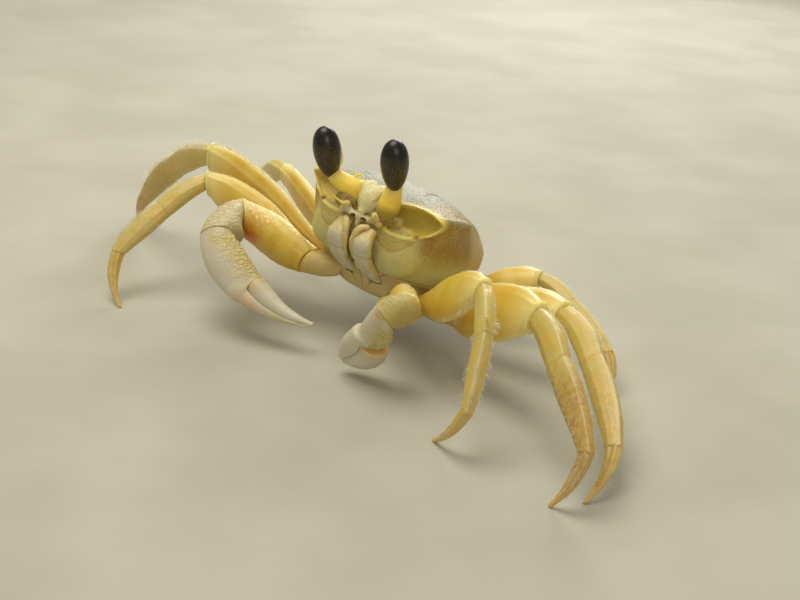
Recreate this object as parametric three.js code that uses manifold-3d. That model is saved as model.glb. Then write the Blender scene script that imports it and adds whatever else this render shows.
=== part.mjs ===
// Ghost crab, life size, standing with its front raised. Millimetres, +Z up. The crab faces -Y and
// its own left side is +X. The floor is at Z = 0.
import * as THREE from 'three';
import { mergeVertices } from 'three/addons/utils/BufferGeometryUtils.js';
import Module from 'manifold-3d';

const wasm = await Module();
wasm.setup();

const { degToRad, clamp, lerp } = THREE.MathUtils;
const vec = (x, y, z) => new THREE.Vector3(x, y, z);

// ---- driving sizes ----------------------------------------------------------------------------
const shellWidth = 18.3; // half the width between the two teeth beside the eyes
const flankWidth = 19.5; // half the width at the swollen flanks
const gap = 0.3; // clearance between neighbouring pieces

// Stance of the trunk: height of its own origin, between the hips, and its two tilts.
const hipHeight = 14.6;
const frontRaised = degToRad(12);
const leanToLeft = degToRad(5);

// Levels of the trunk from the shell's margin down to the breast. Each is an outline in the trunk's
// own frame: half width, how far it reaches in front and behind, how square it is in front and
// behind, how much it narrows behind, and its height.
const margin = { half: shellWidth, front: 14.0, back: 14.4, squareness: [6.5, 3.2], narrow: 0.36 };
const flank = { half: flankWidth, front: 16.3, back: 15.4, squareness: [2.7, 2.7], narrow: 0.14, z: 7.2 };
const skirt = { half: 17.9, front: 14.4, back: 14.2, squareness: [2.5, 2.6], narrow: 0.1, z: 1.2 };
const waist = { half: 14.6, front: 11.4, back: 12.8, squareness: [2.4, 2.4], narrow: 0.05, z: -2.0 };
const breast = { half: 11.6, front: 8.4, back: 11.2, squareness: [2.3, 2.3], narrow: 0, z: -6.2 };
const breastBottom = -7.6;
const skirtCut = 0.45; // height of the lower edge of the shell
const toothBearing = degToRad(-36);
const rootHidden = 3.0; // how far out of its root each merus begins
const hipShare = 0.42; // how far each hip reaches in towards the trunk's middle

// Eye sockets, eyes and the lobe between them, in the trunk's frame.
const socket = {
  centre: [11.0, -16.8, 13.7],
  half: [8.6, 5.7, 4.0],
  swept: degToRad(14),
  raised: degToRad(7),
};
const eye = { base: [5.4, -15.0, 14.4], corneaLength: 11.4, corneaWidth: 5.9 };
const eyePose = {
  left: { corneaCentre: [5.9, -18.0, 24.0], outward: -3, forward: 20 },
  right: { corneaCentre: [11.7, -18.0, 21.2], outward: 13, forward: 20 },
};

// Walking legs, first to last: root in the trunk's frame, lengths of merus, carpus and propodus,
// depth and thickness of the merus. The dactyl is as long as it needs to be to reach the floor.
const legs = [
  { root: [13.0, -7.6, -5.4], lengths: [34.8, 11.5, 14.5], depth: 10.4, thickness: 4.2 },
  { root: [13.6, -2.2, -5.6], lengths: [40.8, 14.2, 21.4], depth: 12.6, thickness: 4.6 },
  { root: [13.2, 3.4, -5.0], lengths: [32.7, 17.4, 24.0], depth: 11.2, thickness: 4.4 },
  { root: [11.2, 8.8, -3.6], lengths: [20.6, 9.9, 15.5], depth: 7.6, thickness: 3.6 },
];

// Stance of each leg in degrees: bearing of the leg's plane behind straight sideways, lean of that
// plane towards the back, lean of the flat merus alone, and the slopes of merus, carpus, propodus
// and dactyl within the plane.
const stance = {
  left: [
    { bearing: -40.1, lean: 21.3, merusLean: 21, slopes: [29.8, -27.7, -53.7, -126.6] },
    { bearing: -30.9, lean: 25.7, merusLean: 26, slopes: [21.1, -16.5, -22.4, -97.4] },
    { bearing: -24.4, lean: 53.1, merusLean: 45, slopes: [24.7, -15.3, -27.1, -65.3] },
    { bearing: 1.7, lean: 46.9, merusLean: 40, slopes: [28.1, -20.2, -30.9, -68.0] },
  ],
  right: [
    { bearing: -28.6, lean: 41.4, merusLean: 12, slopes: [28.5, -43.0, -56.2, -106.4] },
    { bearing: 2.0, lean: -15.9, merusLean: -2, slopes: [26.5, -23.8, -39.9, -57.1] },
    { bearing: 26.5, lean: -24.1, merusLean: -16, slopes: [23.5, -18.1, -27.7, -50.0] },
    { bearing: 27.6, lean: 0, merusLean: 0, slopes: [26.0, -14.0, -30.0, -70.0] },
  ],
};

// Claws: root in the trunk's frame, then length, bearing and slope of merus, carpus, palm and
// finger, and the way that the inner face of the palm looks. The right claw is the large one.
const claws = {
  left: {
    root: [12.9, -12.6, -3.5],
    segments: [[16.0, -49, 17], [6.4, -93, 2], [9.9, 146, -58], [10.6, 174, -38]],
    innerFace: [-0.16, 0.92, 0.32],
    merusDepth: 7.6,
    palmDepth: 6.9,
    palmThickness: 5.2,
    palmBow: 0.05,
    fingerDepth: 5.9,
    fingerBow: 0.16,
    fixedBow: 0,
    fingerTaper: [1, 1.02, 0.98, 0.72, 0.3],
  },
  right: {
    root: [-12.7, -14.6, -3.9],
    segments: [[19.2, -6, 18], [9.5, -101, -12.4], [15.3, -174, -27], [15.9, 172, -19]],
    innerFace: [-0.07, 0.7, -0.7],
    merusDepth: 9.8,
    palmDepth: 9.3,
    palmThickness: 6.6,
    palmBow: -0.06,
    fingerDepth: 4.8,
    fingerBow: -0.09,
    fixedBow: -0.07,
    fingerTaper: [1, 0.9, 0.68, 0.46, 0.2],
  },
};

// ---- finishes ---------------------------------------------------------------------------------
const finish = (color, roughness) => new THREE.MeshStandardMaterial({ color, roughness, metalness: 0 });
const finishes = {
  back: finish(0xbcb795, 0.55),
  cheek: finish(0xa2934a, 0.5),
  plate: finish(0xcfc8b0, 0.5),
  thigh: finish(0xd0ac48, 0.35),
  shank: finish(0xcdbe6e, 0.5),
  claw: finish(0xdad4bc, 0.5),
  stalk: finish(0xe3b83a, 0.4),
  cornea: finish(0x2a2418, 0.15),
};

// ---- shape helpers ----------------------------------------------------------------------------
// Keeps only positions and welds the seams, so that the surface is closed.
function weld(geometry) {
  geometry.deleteAttribute('normal');
  geometry.deleteAttribute('uv');
  return mergeVertices(geometry, 1e-4);
}

function toSolid(geometry) {
  return new wasm.Manifold(new wasm.Mesh({
    numProp: 3,
    vertProperties: new Float32Array(geometry.attributes.position.array),
    triVerts: new Uint32Array(geometry.index.array),
  }));
}

function toGeometry(solid) {
  const mesh = solid.getMesh();
  const geometry = new THREE.BufferGeometry();
  geometry.setAttribute('position', new THREE.BufferAttribute(mesh.vertProperties, 3));
  geometry.setIndex(new THREE.BufferAttribute(mesh.triVerts, 1));
  return geometry;
}

// Reads a smooth value off a short list of evenly spaced ones.
function along(values, t) {
  const points = values.map((value, i) => new THREE.Vector2(i, value));
  return new THREE.SplineCurve(points).getPoint(t).y;
}

// A closed limb piece: the rings of a sphere blank are spread along a centre line. Ring planes turn
// evenly from the start plane to the end plane. Depths are measured across, widths along "side".
function limb({ line, startNormal, endNormal, side, depths, widths, sides = 10, rings = 7 }, grow = 0) {
  const blank = new THREE.SphereGeometry(1, sides, rings + 1);
  const position = blank.attributes.position;
  for (let i = 0; i < position.count; i += 1) {
    const row = Math.floor(i / (sides + 1));
    const atEnd = row === 0 || row === rings + 1;
    const t = 1 - clamp(row - 1, 0, rings - 1) / (rings - 1);
    const angle = ((i % (sides + 1)) / sides) * 2 * Math.PI;
    const normal = startNormal.clone().lerp(endNormal, t).normalize();
    const up = normal.clone().cross(side).normalize();
    const across = up.clone().cross(normal);
    const point = line.getPoint(t);
    point.addScaledVector(normal, grow * (2 * t - 1));
    if (!atEnd) {
      point.addScaledVector(up, -Math.cos(angle) * (along(depths, t) / 2 + grow));
      point.addScaledVector(across, Math.sin(angle) * (along(widths, t) / 2 + grow));
    }
    position.setXYZ(i, point.x, point.y, point.z);
  }
  return weld(blank);
}

// An egg-shaped blank: half sizes along its own axes, turned and moved into place.
function egg(half, centre, rotation, detail = [16, 10]) {
  const blank = new THREE.SphereGeometry(1, detail[0], detail[1]);
  blank.scale(half[0], half[1], half[2]);
  blank.applyMatrix4(new THREE.Matrix4().makeRotationFromEuler(rotation));
  blank.translate(centre[0], centre[1], centre[2]);
  return weld(blank);
}

// A block between two corners.
function block(low, high) {
  const size = [0, 1, 2].map((axis) => high[axis] - low[axis]);
  const blank = new THREE.BoxGeometry(size[0], size[1], size[2]);
  blank.translate(low[0] + size[0] / 2, low[1] + size[1] / 2, low[2] + size[2] / 2);
  return weld(blank);
}

// Planes at the ends and joints of a chain of points: each joint's plane halves the bend there.
function jointNormals(points) {
  const directions = points.slice(1).map((point, i) => point.clone().sub(points[i]).normalize());
  return points.map((point, i) => {
    const before = directions[Math.max(i - 1, 0)];
    const after = directions[Math.min(i, directions.length - 1)];
    return before.clone().add(after).normalize();
  });
}

// The centre line of one segment, bowed by a share of its length, half a gap short at both ends.
function segmentLine(points, normals, i, side, bow) {
  const start = points[i].clone().addScaledVector(normals[i], gap / 2);
  const end = points[i + 1].clone().addScaledVector(normals[i + 1], -gap / 2);
  const axis = end.clone().sub(start);
  const up = axis.clone().normalize().cross(side).normalize();
  const middle = start.clone().lerp(end, 0.5).addScaledVector(up, bow * axis.length() * 2);
  return new THREE.QuadraticBezierCurve3(start, middle, end);
}

// ---- trunk ------------------------------------------------------------------------------------
// Distance from the trunk's upright axis to an outline, in the direction of an angle.
function outlinePoint(level, angle) {
  const across = Math.abs(Math.cos(angle)) / level.half;
  const ahead = Math.sin(angle) < 0;
  const lengthwise = Math.abs(Math.sin(angle)) / (ahead ? level.front : level.back);
  const power = level.squareness[ahead ? 0 : 1];
  const radius = (across ** power + lengthwise ** power) ** (-1 / power);
  const x = Math.cos(angle) * radius;
  const y = Math.sin(angle) * radius;
  const behind = clamp((y + 8) / (level.back + 8), 0, 1);
  return vec(x * (1 - level.narrow * behind ** 1.5), y, level.z ?? 0);
}

// The margin runs down towards the back, and ends beside each eye in a tooth.
function marginPoint(angle) {
  const point = outlinePoint(margin, angle);
  const run = point.y + 13.3;
  point.z = 16.2 - 0.1 * run - 0.0045 * run * run;
  const fromTooth = Math.abs(Math.abs(angle + Math.PI / 2) - (Math.PI / 2 + toothBearing));
  const tooth = Math.exp(-((fromTooth / degToRad(5)) ** 2));
  return point.multiplyScalar(1 + 0.03 * tooth);
}

// Height of the shell's middle line above the trunk's origin.
const middleHeight = (y) => 18.3 - 0.013 * (y + 6) * (y + 6);

// The whole trunk: rings of a sphere blank are spread from the crown over the margin to the breast.
function trunkForm() {
  const crown = [0, 0.35, 0.66, 0.88, 0.97];
  const lowerRings = 8;
  const around = 30;
  const blank = new THREE.SphereGeometry(1, around, crown.length + lowerRings + 1);
  const position = blank.attributes.position;
  for (let i = 0; i < position.count; i += 1) {
    const row = Math.floor(i / (around + 1));
    const angle = Math.PI + ((i % (around + 1)) / around) * 2 * Math.PI;
    const signed = angle - 2 * Math.PI > -1.5 * Math.PI ? angle - 2 * Math.PI : angle;
    const rim = marginPoint(signed);
    let point;
    if (row < crown.length) {
      const share = crown[row];
      point = vec(rim.x * share, rim.y * share, 0);
      point.z = lerp(rim.z, middleHeight(point.y), 1 - share ** 2.6);
    } else {
      const levels = [flank, skirt, waist, breast].map((level) => outlinePoint(level, signed));
      const run = new THREE.CatmullRomCurve3([rim, ...levels, vec(0, 1, breastBottom)]);
      point = run.getPoint((row - crown.length) / (lowerRings + 1));
    }
    position.setXYZ(i, point.x, point.y, point.z);
  }
  return weld(blank);
}

// One of the two plates over the mouth: a long bowed plate that slopes back below.
function mouthPlate(sign) {
  const middle = sign * 2.85;
  const run = [[-16.6, 9.3], [-18.4, 6.2], [-16.4, 2.3], [-12.2, -0.8], [-8.2, -3.0]];
  const points = run.map(([y, z]) => vec(middle, y, z));
  const line = new THREE.CatmullRomCurve3(points);
  return {
    line,
    startNormal: line.getTangent(0),
    endNormal: line.getTangent(1),
    side: vec(1, 0, 0),
    depths: [1.6, 2.5, 2.5, 2.2, 1.4],
    widths: [3.0, 5.2, 5.2, 4.6, 3.0],
    rings: 8,
  };
}

// The belly flap, folded from the shell's hind edge forward under the breast.
function bellyFlap() {
  const run = [[16.6, 7.0], [16.2, 1.6], [13.0, -4.6], [7.0, -6.5], [0, -6.6]];
  const line = new THREE.CatmullRomCurve3(run.map(([y, z]) => vec(0, y, z)));
  return {
    line,
    startNormal: line.getTangent(0),
    endNormal: line.getTangent(1),
    side: vec(1, 0, 0),
    depths: [1.2, 1.5, 1.5, 1.5, 1.2],
    widths: [12.0, 10.5, 8.5, 6.5, 3.5],
  };
}

// The bar between the mouth and the lobe between the eyes, and its clearance.
function mouthBar(grow) {
  const half = [4.3, 1.5, 1.15].map((size) => size + grow);
  return egg(half, [0, -16.5, 10.7], new THREE.Euler(0, 0, 0), [10, 6]);
}

// A feeler: a thin whip on a bead beside the eye's base.
function feeler(sign) {
  const run = [[3.7, -17.4, 12.1], [4.6, -18.8, 12.6], [6.0, -19.9, 13.6]];
  const points = run.map(([x, y, z]) => vec(sign * x, y, z));
  const line = new THREE.CatmullRomCurve3(points);
  return {
    line,
    startNormal: line.getTangent(0),
    endNormal: line.getTangent(1),
    side: vec(0, 0, 1),
    depths: [1.5, 0.9, 0.55],
    widths: [1.5, 0.9, 0.55],
    sides: 6,
    rings: 4,
  };
}

// Where an eye's cornea sits: its centre and the axis of the stalk.
function eyeAxis(name, sign) {
  const { corneaCentre, outward, forward } = eyePose[name];
  const axis = vec(sign * Math.tan(degToRad(outward)), -Math.tan(degToRad(forward)), 1).normalize();
  const [base, centre] = [eye.base, corneaCentre].map(([x, y, z]) => vec(sign * x, y, z));
  return { axis, base, centre };
}

// The cornea: an egg on the front of the stalk, narrower below.
function cornea({ axis, centre }, grow) {
  const blank = new THREE.SphereGeometry(1, 12, 9);
  const position = blank.attributes.position;
  for (let i = 0; i < position.count; i += 1) {
    const upward = position.getY(i);
    const girth = (eye.corneaWidth / 2) * (1 + 0.14 * upward) + grow;
    const height = upward * (eye.corneaLength / 2 + grow);
    position.setXYZ(i, position.getX(i) * girth, height, position.getZ(i) * girth);
  }
  const turn = new THREE.Quaternion().setFromUnitVectors(vec(0, 1, 0), axis);
  blank.applyQuaternion(turn);
  blank.translate(centre.x, centre.y, centre.z);
  return weld(blank);
}

// The stalk: a waisted column that runs on as a rib up the inner back of the cornea.
function stalk({ axis, base, centre }, sign) {
  const behind = vec(-sign * 0.62, 0.78, 0);
  const beside = (share, offset) => centre.clone()
    .addScaledVector(axis, eye.corneaLength * share)
    .addScaledVector(behind, offset);
  const [neck, rib, top] = [beside(-0.44, 0.4), beside(0, 2.2), beside(0.34, 1.9)];
  const line = new THREE.CatmullRomCurve3([base, neck, rib, top]);
  return {
    line,
    startNormal: neck.clone().sub(base).normalize(),
    endNormal: axis,
    side: vec(1, 0, 0),
    depths: [4.2, 3.2, 3.2, 3.6, 3.4, 2.0],
    widths: [4.6, 3.2, 3.2, 3.6, 3.4, 2.0],
  };
}

// ---- limbs ------------------------------------------------------------------------------------
const trunkFrame = new THREE.Matrix4().makeRotationFromEuler(
  new THREE.Euler(-frontRaised, leanToLeft, 0, 'YXZ'),
);
trunkFrame.setPosition(0, 0, hipHeight);
const trunkInverse = trunkFrame.clone().invert();

const fromTrunk = (place, sign) => vec(sign * place[0], place[1], place[2]).applyMatrix4(trunkFrame);

// The upward direction in a leg's plane.
function planeUp(sign, heading, tipped) {
  const level = Math.sin(tipped);
  const upward = vec(-sign * Math.sin(heading) * level, Math.cos(heading) * level, Math.cos(tipped));
  return upward;
}

// The joints of a walking leg from its root to the floor, the axis that its joints turn on, and
// the axis across the flat merus.
function legChain(name, sign, index) {
  const leg = legs[index];
  const { bearing, lean, merusLean, slopes } = stance[name][index];
  const heading = degToRad(bearing);
  const outward = vec(sign * Math.cos(heading), Math.sin(heading), 0);
  const upward = planeUp(sign, heading, degToRad(lean));
  const points = [fromTrunk(leg.root, sign)];
  slopes.forEach((slope, i) => {
    const direction = outward.clone().multiplyScalar(Math.cos(degToRad(slope)));
    direction.addScaledVector(upward, Math.sin(degToRad(slope)));
    const last = points[points.length - 1];
    const length = i < 3 ? leg.lengths[i] : last.z / -direction.z;
    points.push(last.clone().addScaledVector(direction, length));
  });
  points[0].lerp(points[1], rootHidden / leg.lengths[0]);
  const merusSide = planeUp(sign, heading, degToRad(merusLean)).cross(outward);
  return { points, side: upward.cross(outward), merusSide };
}

// Segment shapes: depths and widths as shares of the merus's depth and thickness, and the bow.
const legShapes = [
  {
    part: 'merus',
    depths: [0.46, 0.56, 0.9, 1, 0.9, 0.54],
    widths: [0.8, 0.9, 1, 1, 0.95, 0.8],
    bow: 0.01,
  },
  {
    part: 'carpus',
    depths: [0.42, 0.47, 0.5, 0.46],
    widths: [0.7, 0.8, 0.8, 0.7],
    bow: 0.06,
  },
  {
    part: 'propodus',
    depths: [0.46, 0.5, 0.46, 0.35],
    widths: [0.7, 0.75, 0.7, 0.55],
    bow: 0.03,
  },
  {
    part: 'dactyl',
    depths: [0.31, 0.28, 0.21, 0.12],
    widths: [0.5, 0.45, 0.36, 0.26],
    bow: 0.1,
  },
];

function legPieces(name, sign, index) {
  const leg = legs[index];
  const { points, side, merusSide } = legChain(name, sign, index);
  const normals = jointNormals(points);
  return legShapes.map((shape, i) => ({
    name: `leg${index + 1}_${name}_${shape.part}`,
    finish: i === 0 ? finishes.thigh : finishes.shank,
    spec: {
      line: segmentLine(points, normals, i, side, shape.bow),
      startNormal: normals[i],
      endNormal: normals[i + 1],
      side: i === 0 ? merusSide : side,
      depths: shape.depths.map((share) => share * leg.depth),
      widths: shape.widths.map((share) => share * leg.thickness),
      sides: 8,
      rings: i === 0 ? 8 : 6,
    },
  }));
}

// The joints of a claw's arm from its root to the finger's tip.
function clawChain(name, sign) {
  const claw = claws[name];
  const points = [vec(...claw.root).applyMatrix4(trunkFrame)];
  claw.segments.forEach(([length, bearing, slope]) => {
    const level = Math.cos(degToRad(slope));
    const x = sign * level * Math.cos(degToRad(bearing));
    const y = level * Math.sin(degToRad(bearing));
    const step = vec(x, y, Math.sin(degToRad(slope)));
    points.push(points[points.length - 1].clone().addScaledVector(step, length));
  });
  return points;
}

// The four pieces of a claw's arm. The fixed finger is one piece with the palm.
function clawPieces(name, sign) {
  const claw = claws[name];
  const points = clawChain(name, sign);
  const inner = vec(...claw.innerFace).normalize();
  const palmAxis = points[3].clone().sub(points[2]).normalize();
  const fingerSide = palmAxis.clone().cross(inner).normalize();
  const armSide = vec(0, 0, 1).cross(points[1].clone().sub(points[0]).normalize()).normalize();
  const palmEnd = points[3].clone().addScaledVector(fingerSide, -claw.palmDepth * 0.2);
  const arm = [points[0], points[1], points[2], palmEnd];
  const normals = jointNormals(arm);
  const scaled = (list, size) => list.map((share) => share * size);
  const merus = {
    line: segmentLine(arm, normals, 0, armSide, 0.03),
    startNormal: normals[0],
    endNormal: normals[1],
    side: armSide,
    depths: scaled([0.6, 0.85, 1, 0.98, 0.9, 0.85], claw.merusDepth),
    widths: scaled([0.55, 0.75, 0.8, 0.8, 0.8, 0.85], claw.merusDepth),
    rings: 8,
  };
  const carpus = {
    line: segmentLine(arm, normals, 1, armSide, 0.02),
    startNormal: normals[1],
    endNormal: normals[2],
    side: inner,
    depths: scaled([0.8, 0.96, 0.95, 0.8], claw.merusDepth),
    widths: scaled([0.8, 0.85, 0.8, 0.7], claw.merusDepth),
  };
  const palm = {
    line: segmentLine(arm, normals, 2, inner, claw.palmBow),
    startNormal: normals[2],
    endNormal: normals[3],
    side: inner,
    depths: scaled([0.74, 0.94, 1, 0.94, 0.8], claw.palmDepth),
    widths: scaled([0.75, 1, 1, 0.85, 0.6], claw.palmThickness),
    rings: 7,
  };
  const fingerAxis = points[4].clone().sub(points[3]).normalize();
  const fixedStart = palmEnd.clone().addScaledVector(fingerSide, -claw.palmDepth * 0.17);
  fixedStart.addScaledVector(palmAxis, -2);
  const fixedEnd = points[4].clone().addScaledVector(fingerSide, -claw.fingerDepth * 0.3);
  fixedEnd.addScaledVector(fingerAxis, -0.6);
  const movableStart = points[3].clone().addScaledVector(palmAxis, gap);
  const finger = (start, end, bow, depth) => {
    const span = end.clone().sub(start);
    const middle = start.clone().lerp(end, 0.5).addScaledVector(fingerSide, bow * span.length() * 2);
    return {
      line: new THREE.QuadraticBezierCurve3(start, middle, end),
      startNormal: palmAxis,
      endNormal: span.clone().normalize(),
      side: inner,
      depths: scaled(claw.fingerTaper, depth),
      widths: scaled(claw.fingerTaper, depth * 0.92),
      sides: 8,
      rings: 6,
    };
  };
  const fixedFinger = finger(fixedStart, fixedEnd, claw.fixedBow, claw.fingerDepth * 0.78);
  const movableFinger = finger(movableStart, points[4], claw.fingerBow, claw.fingerDepth);
  const handSolid = toSolid(limb(palm)).add(toSolid(limb(fixedFinger)));
  const hand = handSolid.subtract(toSolid(limb(movableFinger, gap)));
  return [
    { name: `claw_${name}_merus`, finish: finishes.thigh, spec: merus },
    { name: `claw_${name}_carpus`, finish: finishes.claw, spec: carpus },
    { name: `claw_${name}_palm`, finish: finishes.claw, geometry: toGeometry(hand) },
    { name: `claw_${name}_finger`, finish: finishes.claw, spec: movableFinger },
  ];
}

// ---- assembly ---------------------------------------------------------------------------------
const sides = [['left', 1], ['right', -1]];
const model = new THREE.Group();
const trunk = new THREE.Group();
trunk.applyMatrix4(trunkFrame);
model.add(trunk);

function addPiece(parent, name, geometry, material) {
  const mesh = new THREE.Mesh(geometry, material.clone());
  mesh.name = name;
  parent.add(mesh);
}

const limbPieces = sides.flatMap(([name, sign]) => [
  ...legs.flatMap((leg, index) => legPieces(name, sign, index)),
  ...clawPieces(name, sign),
]);
const floorBlock = toSolid(block([-150, -150, -10], [150, 150, 0]));

limbPieces.forEach((piece) => {
  let geometry = piece.geometry ?? limb(piece.spec);
  if (piece.name.endsWith('dactyl')) {
    // The toe is drawn a little too long and cut off flat where it stands.
    const { line } = piece.spec;
    line.v2.addScaledVector(piece.spec.endNormal, 1);
    geometry = toGeometry(toSolid(limb(piece.spec)).subtract(floorBlock));
  }
  addPiece(model, piece.name, geometry, piece.finish);
});

// Clearances that the limbs leave in the trunk.
const thighs = limbPieces.filter((piece) => piece.name.endsWith('merus'));
const clearances = thighs.map((piece) => {
  const coarse = limb({ ...piece.spec, rings: 5 }, gap + 0.1);
  return toSolid(coarse.applyMatrix4(trunkInverse));
});
const clearOfLimbs = (solid) => clearances.reduce((rest, cut) => rest.subtract(cut), solid);

const whole = toSolid(trunkForm());
const brow = egg([2.5, 3.5, 3.1], [0, -14.0, 14.9], new THREE.Euler(degToRad(30), 0, 0));
const plates = sides.map(([, sign]) => toSolid(limb(mouthPlate(sign), gap)));
const sockets = sides.map(([, sign]) => {
  const turn = new THREE.Euler(0, -sign * socket.raised, sign * socket.swept, 'ZYX');
  const [x, y, z] = socket.centre;
  return toSolid(egg(socket.half, [sign * x, y, z], turn, [18, 10]));
});
const eyes = sides.map(([name, sign]) => eyeAxis(name, sign));
const stalks = sides.map(([, sign], i) => stalk(eyes[i], sign));

const cheekLine = { inner: 5.9, top: 8.7, back: -5.0 };
function cheekBlock(sign, grow) {
  const inner = cheekLine.inner - grow;
  const outer = 30;
  const low = [sign > 0 ? inner : -outer, -30, skirtCut + gap - grow * 2];
  const high = [sign > 0 ? outer : -inner, cheekLine.back + grow, cheekLine.top + grow];
  return toSolid(block(low, high));
}

const flap = toSolid(limb(bellyFlap(), gap));
const belowShell = toSolid(block([-30, -30, -20], [30, 30, skirtCut]));
const aboveBreast = toSolid(block([-30, -30, skirtCut + gap], [30, 30, 40]));

let shell = whole.intersect(aboveBreast).add(toSolid(brow));
sockets.forEach((cut) => {
  shell = shell.subtract(cut);
});
plates.forEach((cut) => {
  shell = shell.subtract(cut);
});
shell = shell.subtract(toSolid(mouthBar(gap))).subtract(flap);
const cheekStock = shell;
sides.forEach(([, sign], i) => {
  shell = shell.subtract(cheekBlock(sign, gap)).subtract(toSolid(limb(stalks[i], gap)));
});
addPiece(trunk, 'carapace', toGeometry(clearOfLimbs(shell)), finishes.back);

sides.forEach(([name, sign], i) => {
  const cheek = cheekStock.intersect(cheekBlock(sign, 0));
  addPiece(trunk, `cheek_${name}`, toGeometry(clearOfLimbs(cheek)), finishes.cheek);
  addPiece(trunk, `maxilliped_${name}`, limb(mouthPlate(sign)), finishes.plate);
  addPiece(trunk, `antenna_${name}`, limb(feeler(sign)), finishes.stalk);
  const corneaCut = toSolid(cornea(eyes[i], gap));
  const stalkSolid = toSolid(limb(stalks[i])).subtract(corneaCut);
  addPiece(trunk, `eyestalk_${name}`, toGeometry(stalkSolid), finishes.stalk);
  addPiece(trunk, `cornea_${name}`, cornea(eyes[i], 0), finishes.cornea);
});
addPiece(trunk, 'epistome', mouthBar(0), finishes.cheek);
addPiece(trunk, 'abdomen', limb(bellyFlap()), finishes.plate);

// The breast carries a short hip for every limb.
function hip({ spec }) {
  const end = spec.line.getPoint(0).addScaledVector(spec.startNormal, -1.5 * gap);
  const start = end.clone().lerp(vec(0, -2, hipHeight - 2), hipShare);
  return {
    line: new THREE.LineCurve3(start, end),
    startNormal: end.clone().sub(start).normalize(),
    endNormal: spec.startNormal,
    side: spec.side,
    depths: [0.8, 1.12, 1].map((share) => share * spec.depths[0]),
    widths: [0.8, 1.12, 1].map((share) => share * spec.widths[0]),
    sides: 6,
    rings: 3,
  };
}

let sternum = whole.intersect(belowShell);
thighs.forEach((thigh) => {
  const stub = limb(hip(thigh)).applyMatrix4(trunkInverse);
  sternum = sternum.add(toSolid(stub).intersect(belowShell));
});
plates.forEach((cut) => {
  sternum = sternum.subtract(cut);
});
addPiece(trunk, 'sternum', toGeometry(clearOfLimbs(sternum.subtract(flap))), finishes.plate);

// The origin is the middle of the floor under the whole crab.
model.updateMatrixWorld(true);
const bounds = new THREE.Box3().setFromObject(model, true);
const group = new THREE.Group();
const middle = bounds.getCenter(vec(0, 0, 0));
model.position.set(-middle.x, -middle.y, -bounds.min.z);
group.add(model);

export default group;
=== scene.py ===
# %% [markdown]
# # A ghost crab, life size, as a museum model
# The crab stands with its front raised on eight walking legs, eyes up, the large claw hanging at
# its right side. Its solids are already made, so this script only gives them their surface:
# the granular shell, the eye sockets, the jointed legs with their bristles, and the glossy eyes.
# It starts by loading those solids as a frame that is never moved or resized.

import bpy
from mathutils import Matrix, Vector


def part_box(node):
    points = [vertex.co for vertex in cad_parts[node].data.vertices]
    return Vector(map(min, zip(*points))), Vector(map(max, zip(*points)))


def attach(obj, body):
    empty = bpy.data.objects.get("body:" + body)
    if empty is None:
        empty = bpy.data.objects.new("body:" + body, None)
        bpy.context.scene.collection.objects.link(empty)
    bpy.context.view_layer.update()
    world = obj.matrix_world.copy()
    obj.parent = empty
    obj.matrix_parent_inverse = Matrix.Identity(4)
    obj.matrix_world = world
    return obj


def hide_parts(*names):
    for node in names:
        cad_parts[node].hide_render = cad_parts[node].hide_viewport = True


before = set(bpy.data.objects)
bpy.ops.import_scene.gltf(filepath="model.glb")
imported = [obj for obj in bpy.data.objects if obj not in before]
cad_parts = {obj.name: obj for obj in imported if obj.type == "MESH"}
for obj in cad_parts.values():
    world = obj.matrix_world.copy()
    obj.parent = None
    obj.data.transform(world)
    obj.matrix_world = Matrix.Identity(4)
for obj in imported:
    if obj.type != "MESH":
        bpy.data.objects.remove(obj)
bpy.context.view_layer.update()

# %% [markdown]
# ### Units and tools
# A crab's sizes are easiest to read in millimetres, while Blender counts in metres. All shapes are
# worked out in millimetres as arrays of numbers and turned into metres once, when a mesh is made.
# Modelling by hand would do too, but arrays give the same crab each time.

# %% Modules and units
import itertools
import math

import bpy
import numpy as np
import openvdb
from mathutils import Matrix, Vector

MM = 0.001  # all sizes below are in millimetres
COARSE = 1.0
UP = np.array([0.0, 0.0, 1.0])
print("one millimetre is", MM, "of a Blender unit")

# %% [markdown]
# ## The skeleton that every piece hangs on
# A crab's limb is a chain of tubes that hinge on each other. The solids were made from a short
# list of lengths and angles, so the same list is written here rather than measured on meshes: a
# chain of joints says where a tube starts, ends and bends, which a box round it does not.

# %% Small vector helpers
def unit(vector):
    vector = np.asarray(vector, float)
    return vector / np.linalg.norm(vector, axis=-1, keepdims=True)


def smoothstep(low, high, value):
    share = np.clip((value - low) / (high - low), 0.0, 1.0)
    return share * share * (3 - 2 * share)


def turn_about(axis, degrees):
    return np.array(Matrix.Rotation(math.radians(degrees), 3, axis))


def hill(value, centre, half_width):
    """A smooth bump from 0 to 1 round a centre."""
    return np.exp(-(((value - centre) / half_width) ** 2))


# %% [markdown]
# ### Curves
# Nothing on a crab is straight: thighs swell, toes taper, and the shell rolls over at its side. A
# few values with a smooth curve through them describe such a form. Bezier curve objects could do it
# too, but a function can be read at any share of its length, as lofts and bristles need.

# %% Smooth curves through a few points
def along(values, share):
    """A smooth value read off a short list of evenly spaced ones."""
    values = np.asarray(values, float)
    last = len(values) - 1
    place = np.clip(np.asarray(share, float), 0, 1) * last
    first = np.minimum(np.floor(place).astype(int), last)
    part = place - first
    before = values[np.maximum(first - 1, 0)]
    start = values[first]
    end = values[np.minimum(first + 1, last)]
    after = values[np.minimum(first + 2, last)]
    in_slope = (end - before) / 2
    out_slope = (after - start) / 2
    cubic = 2 * start - 2 * end + in_slope + out_slope
    square = -3 * start + 3 * end - 2 * in_slope - out_slope
    return ((cubic * part + square) * part + in_slope) * part + start


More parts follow.
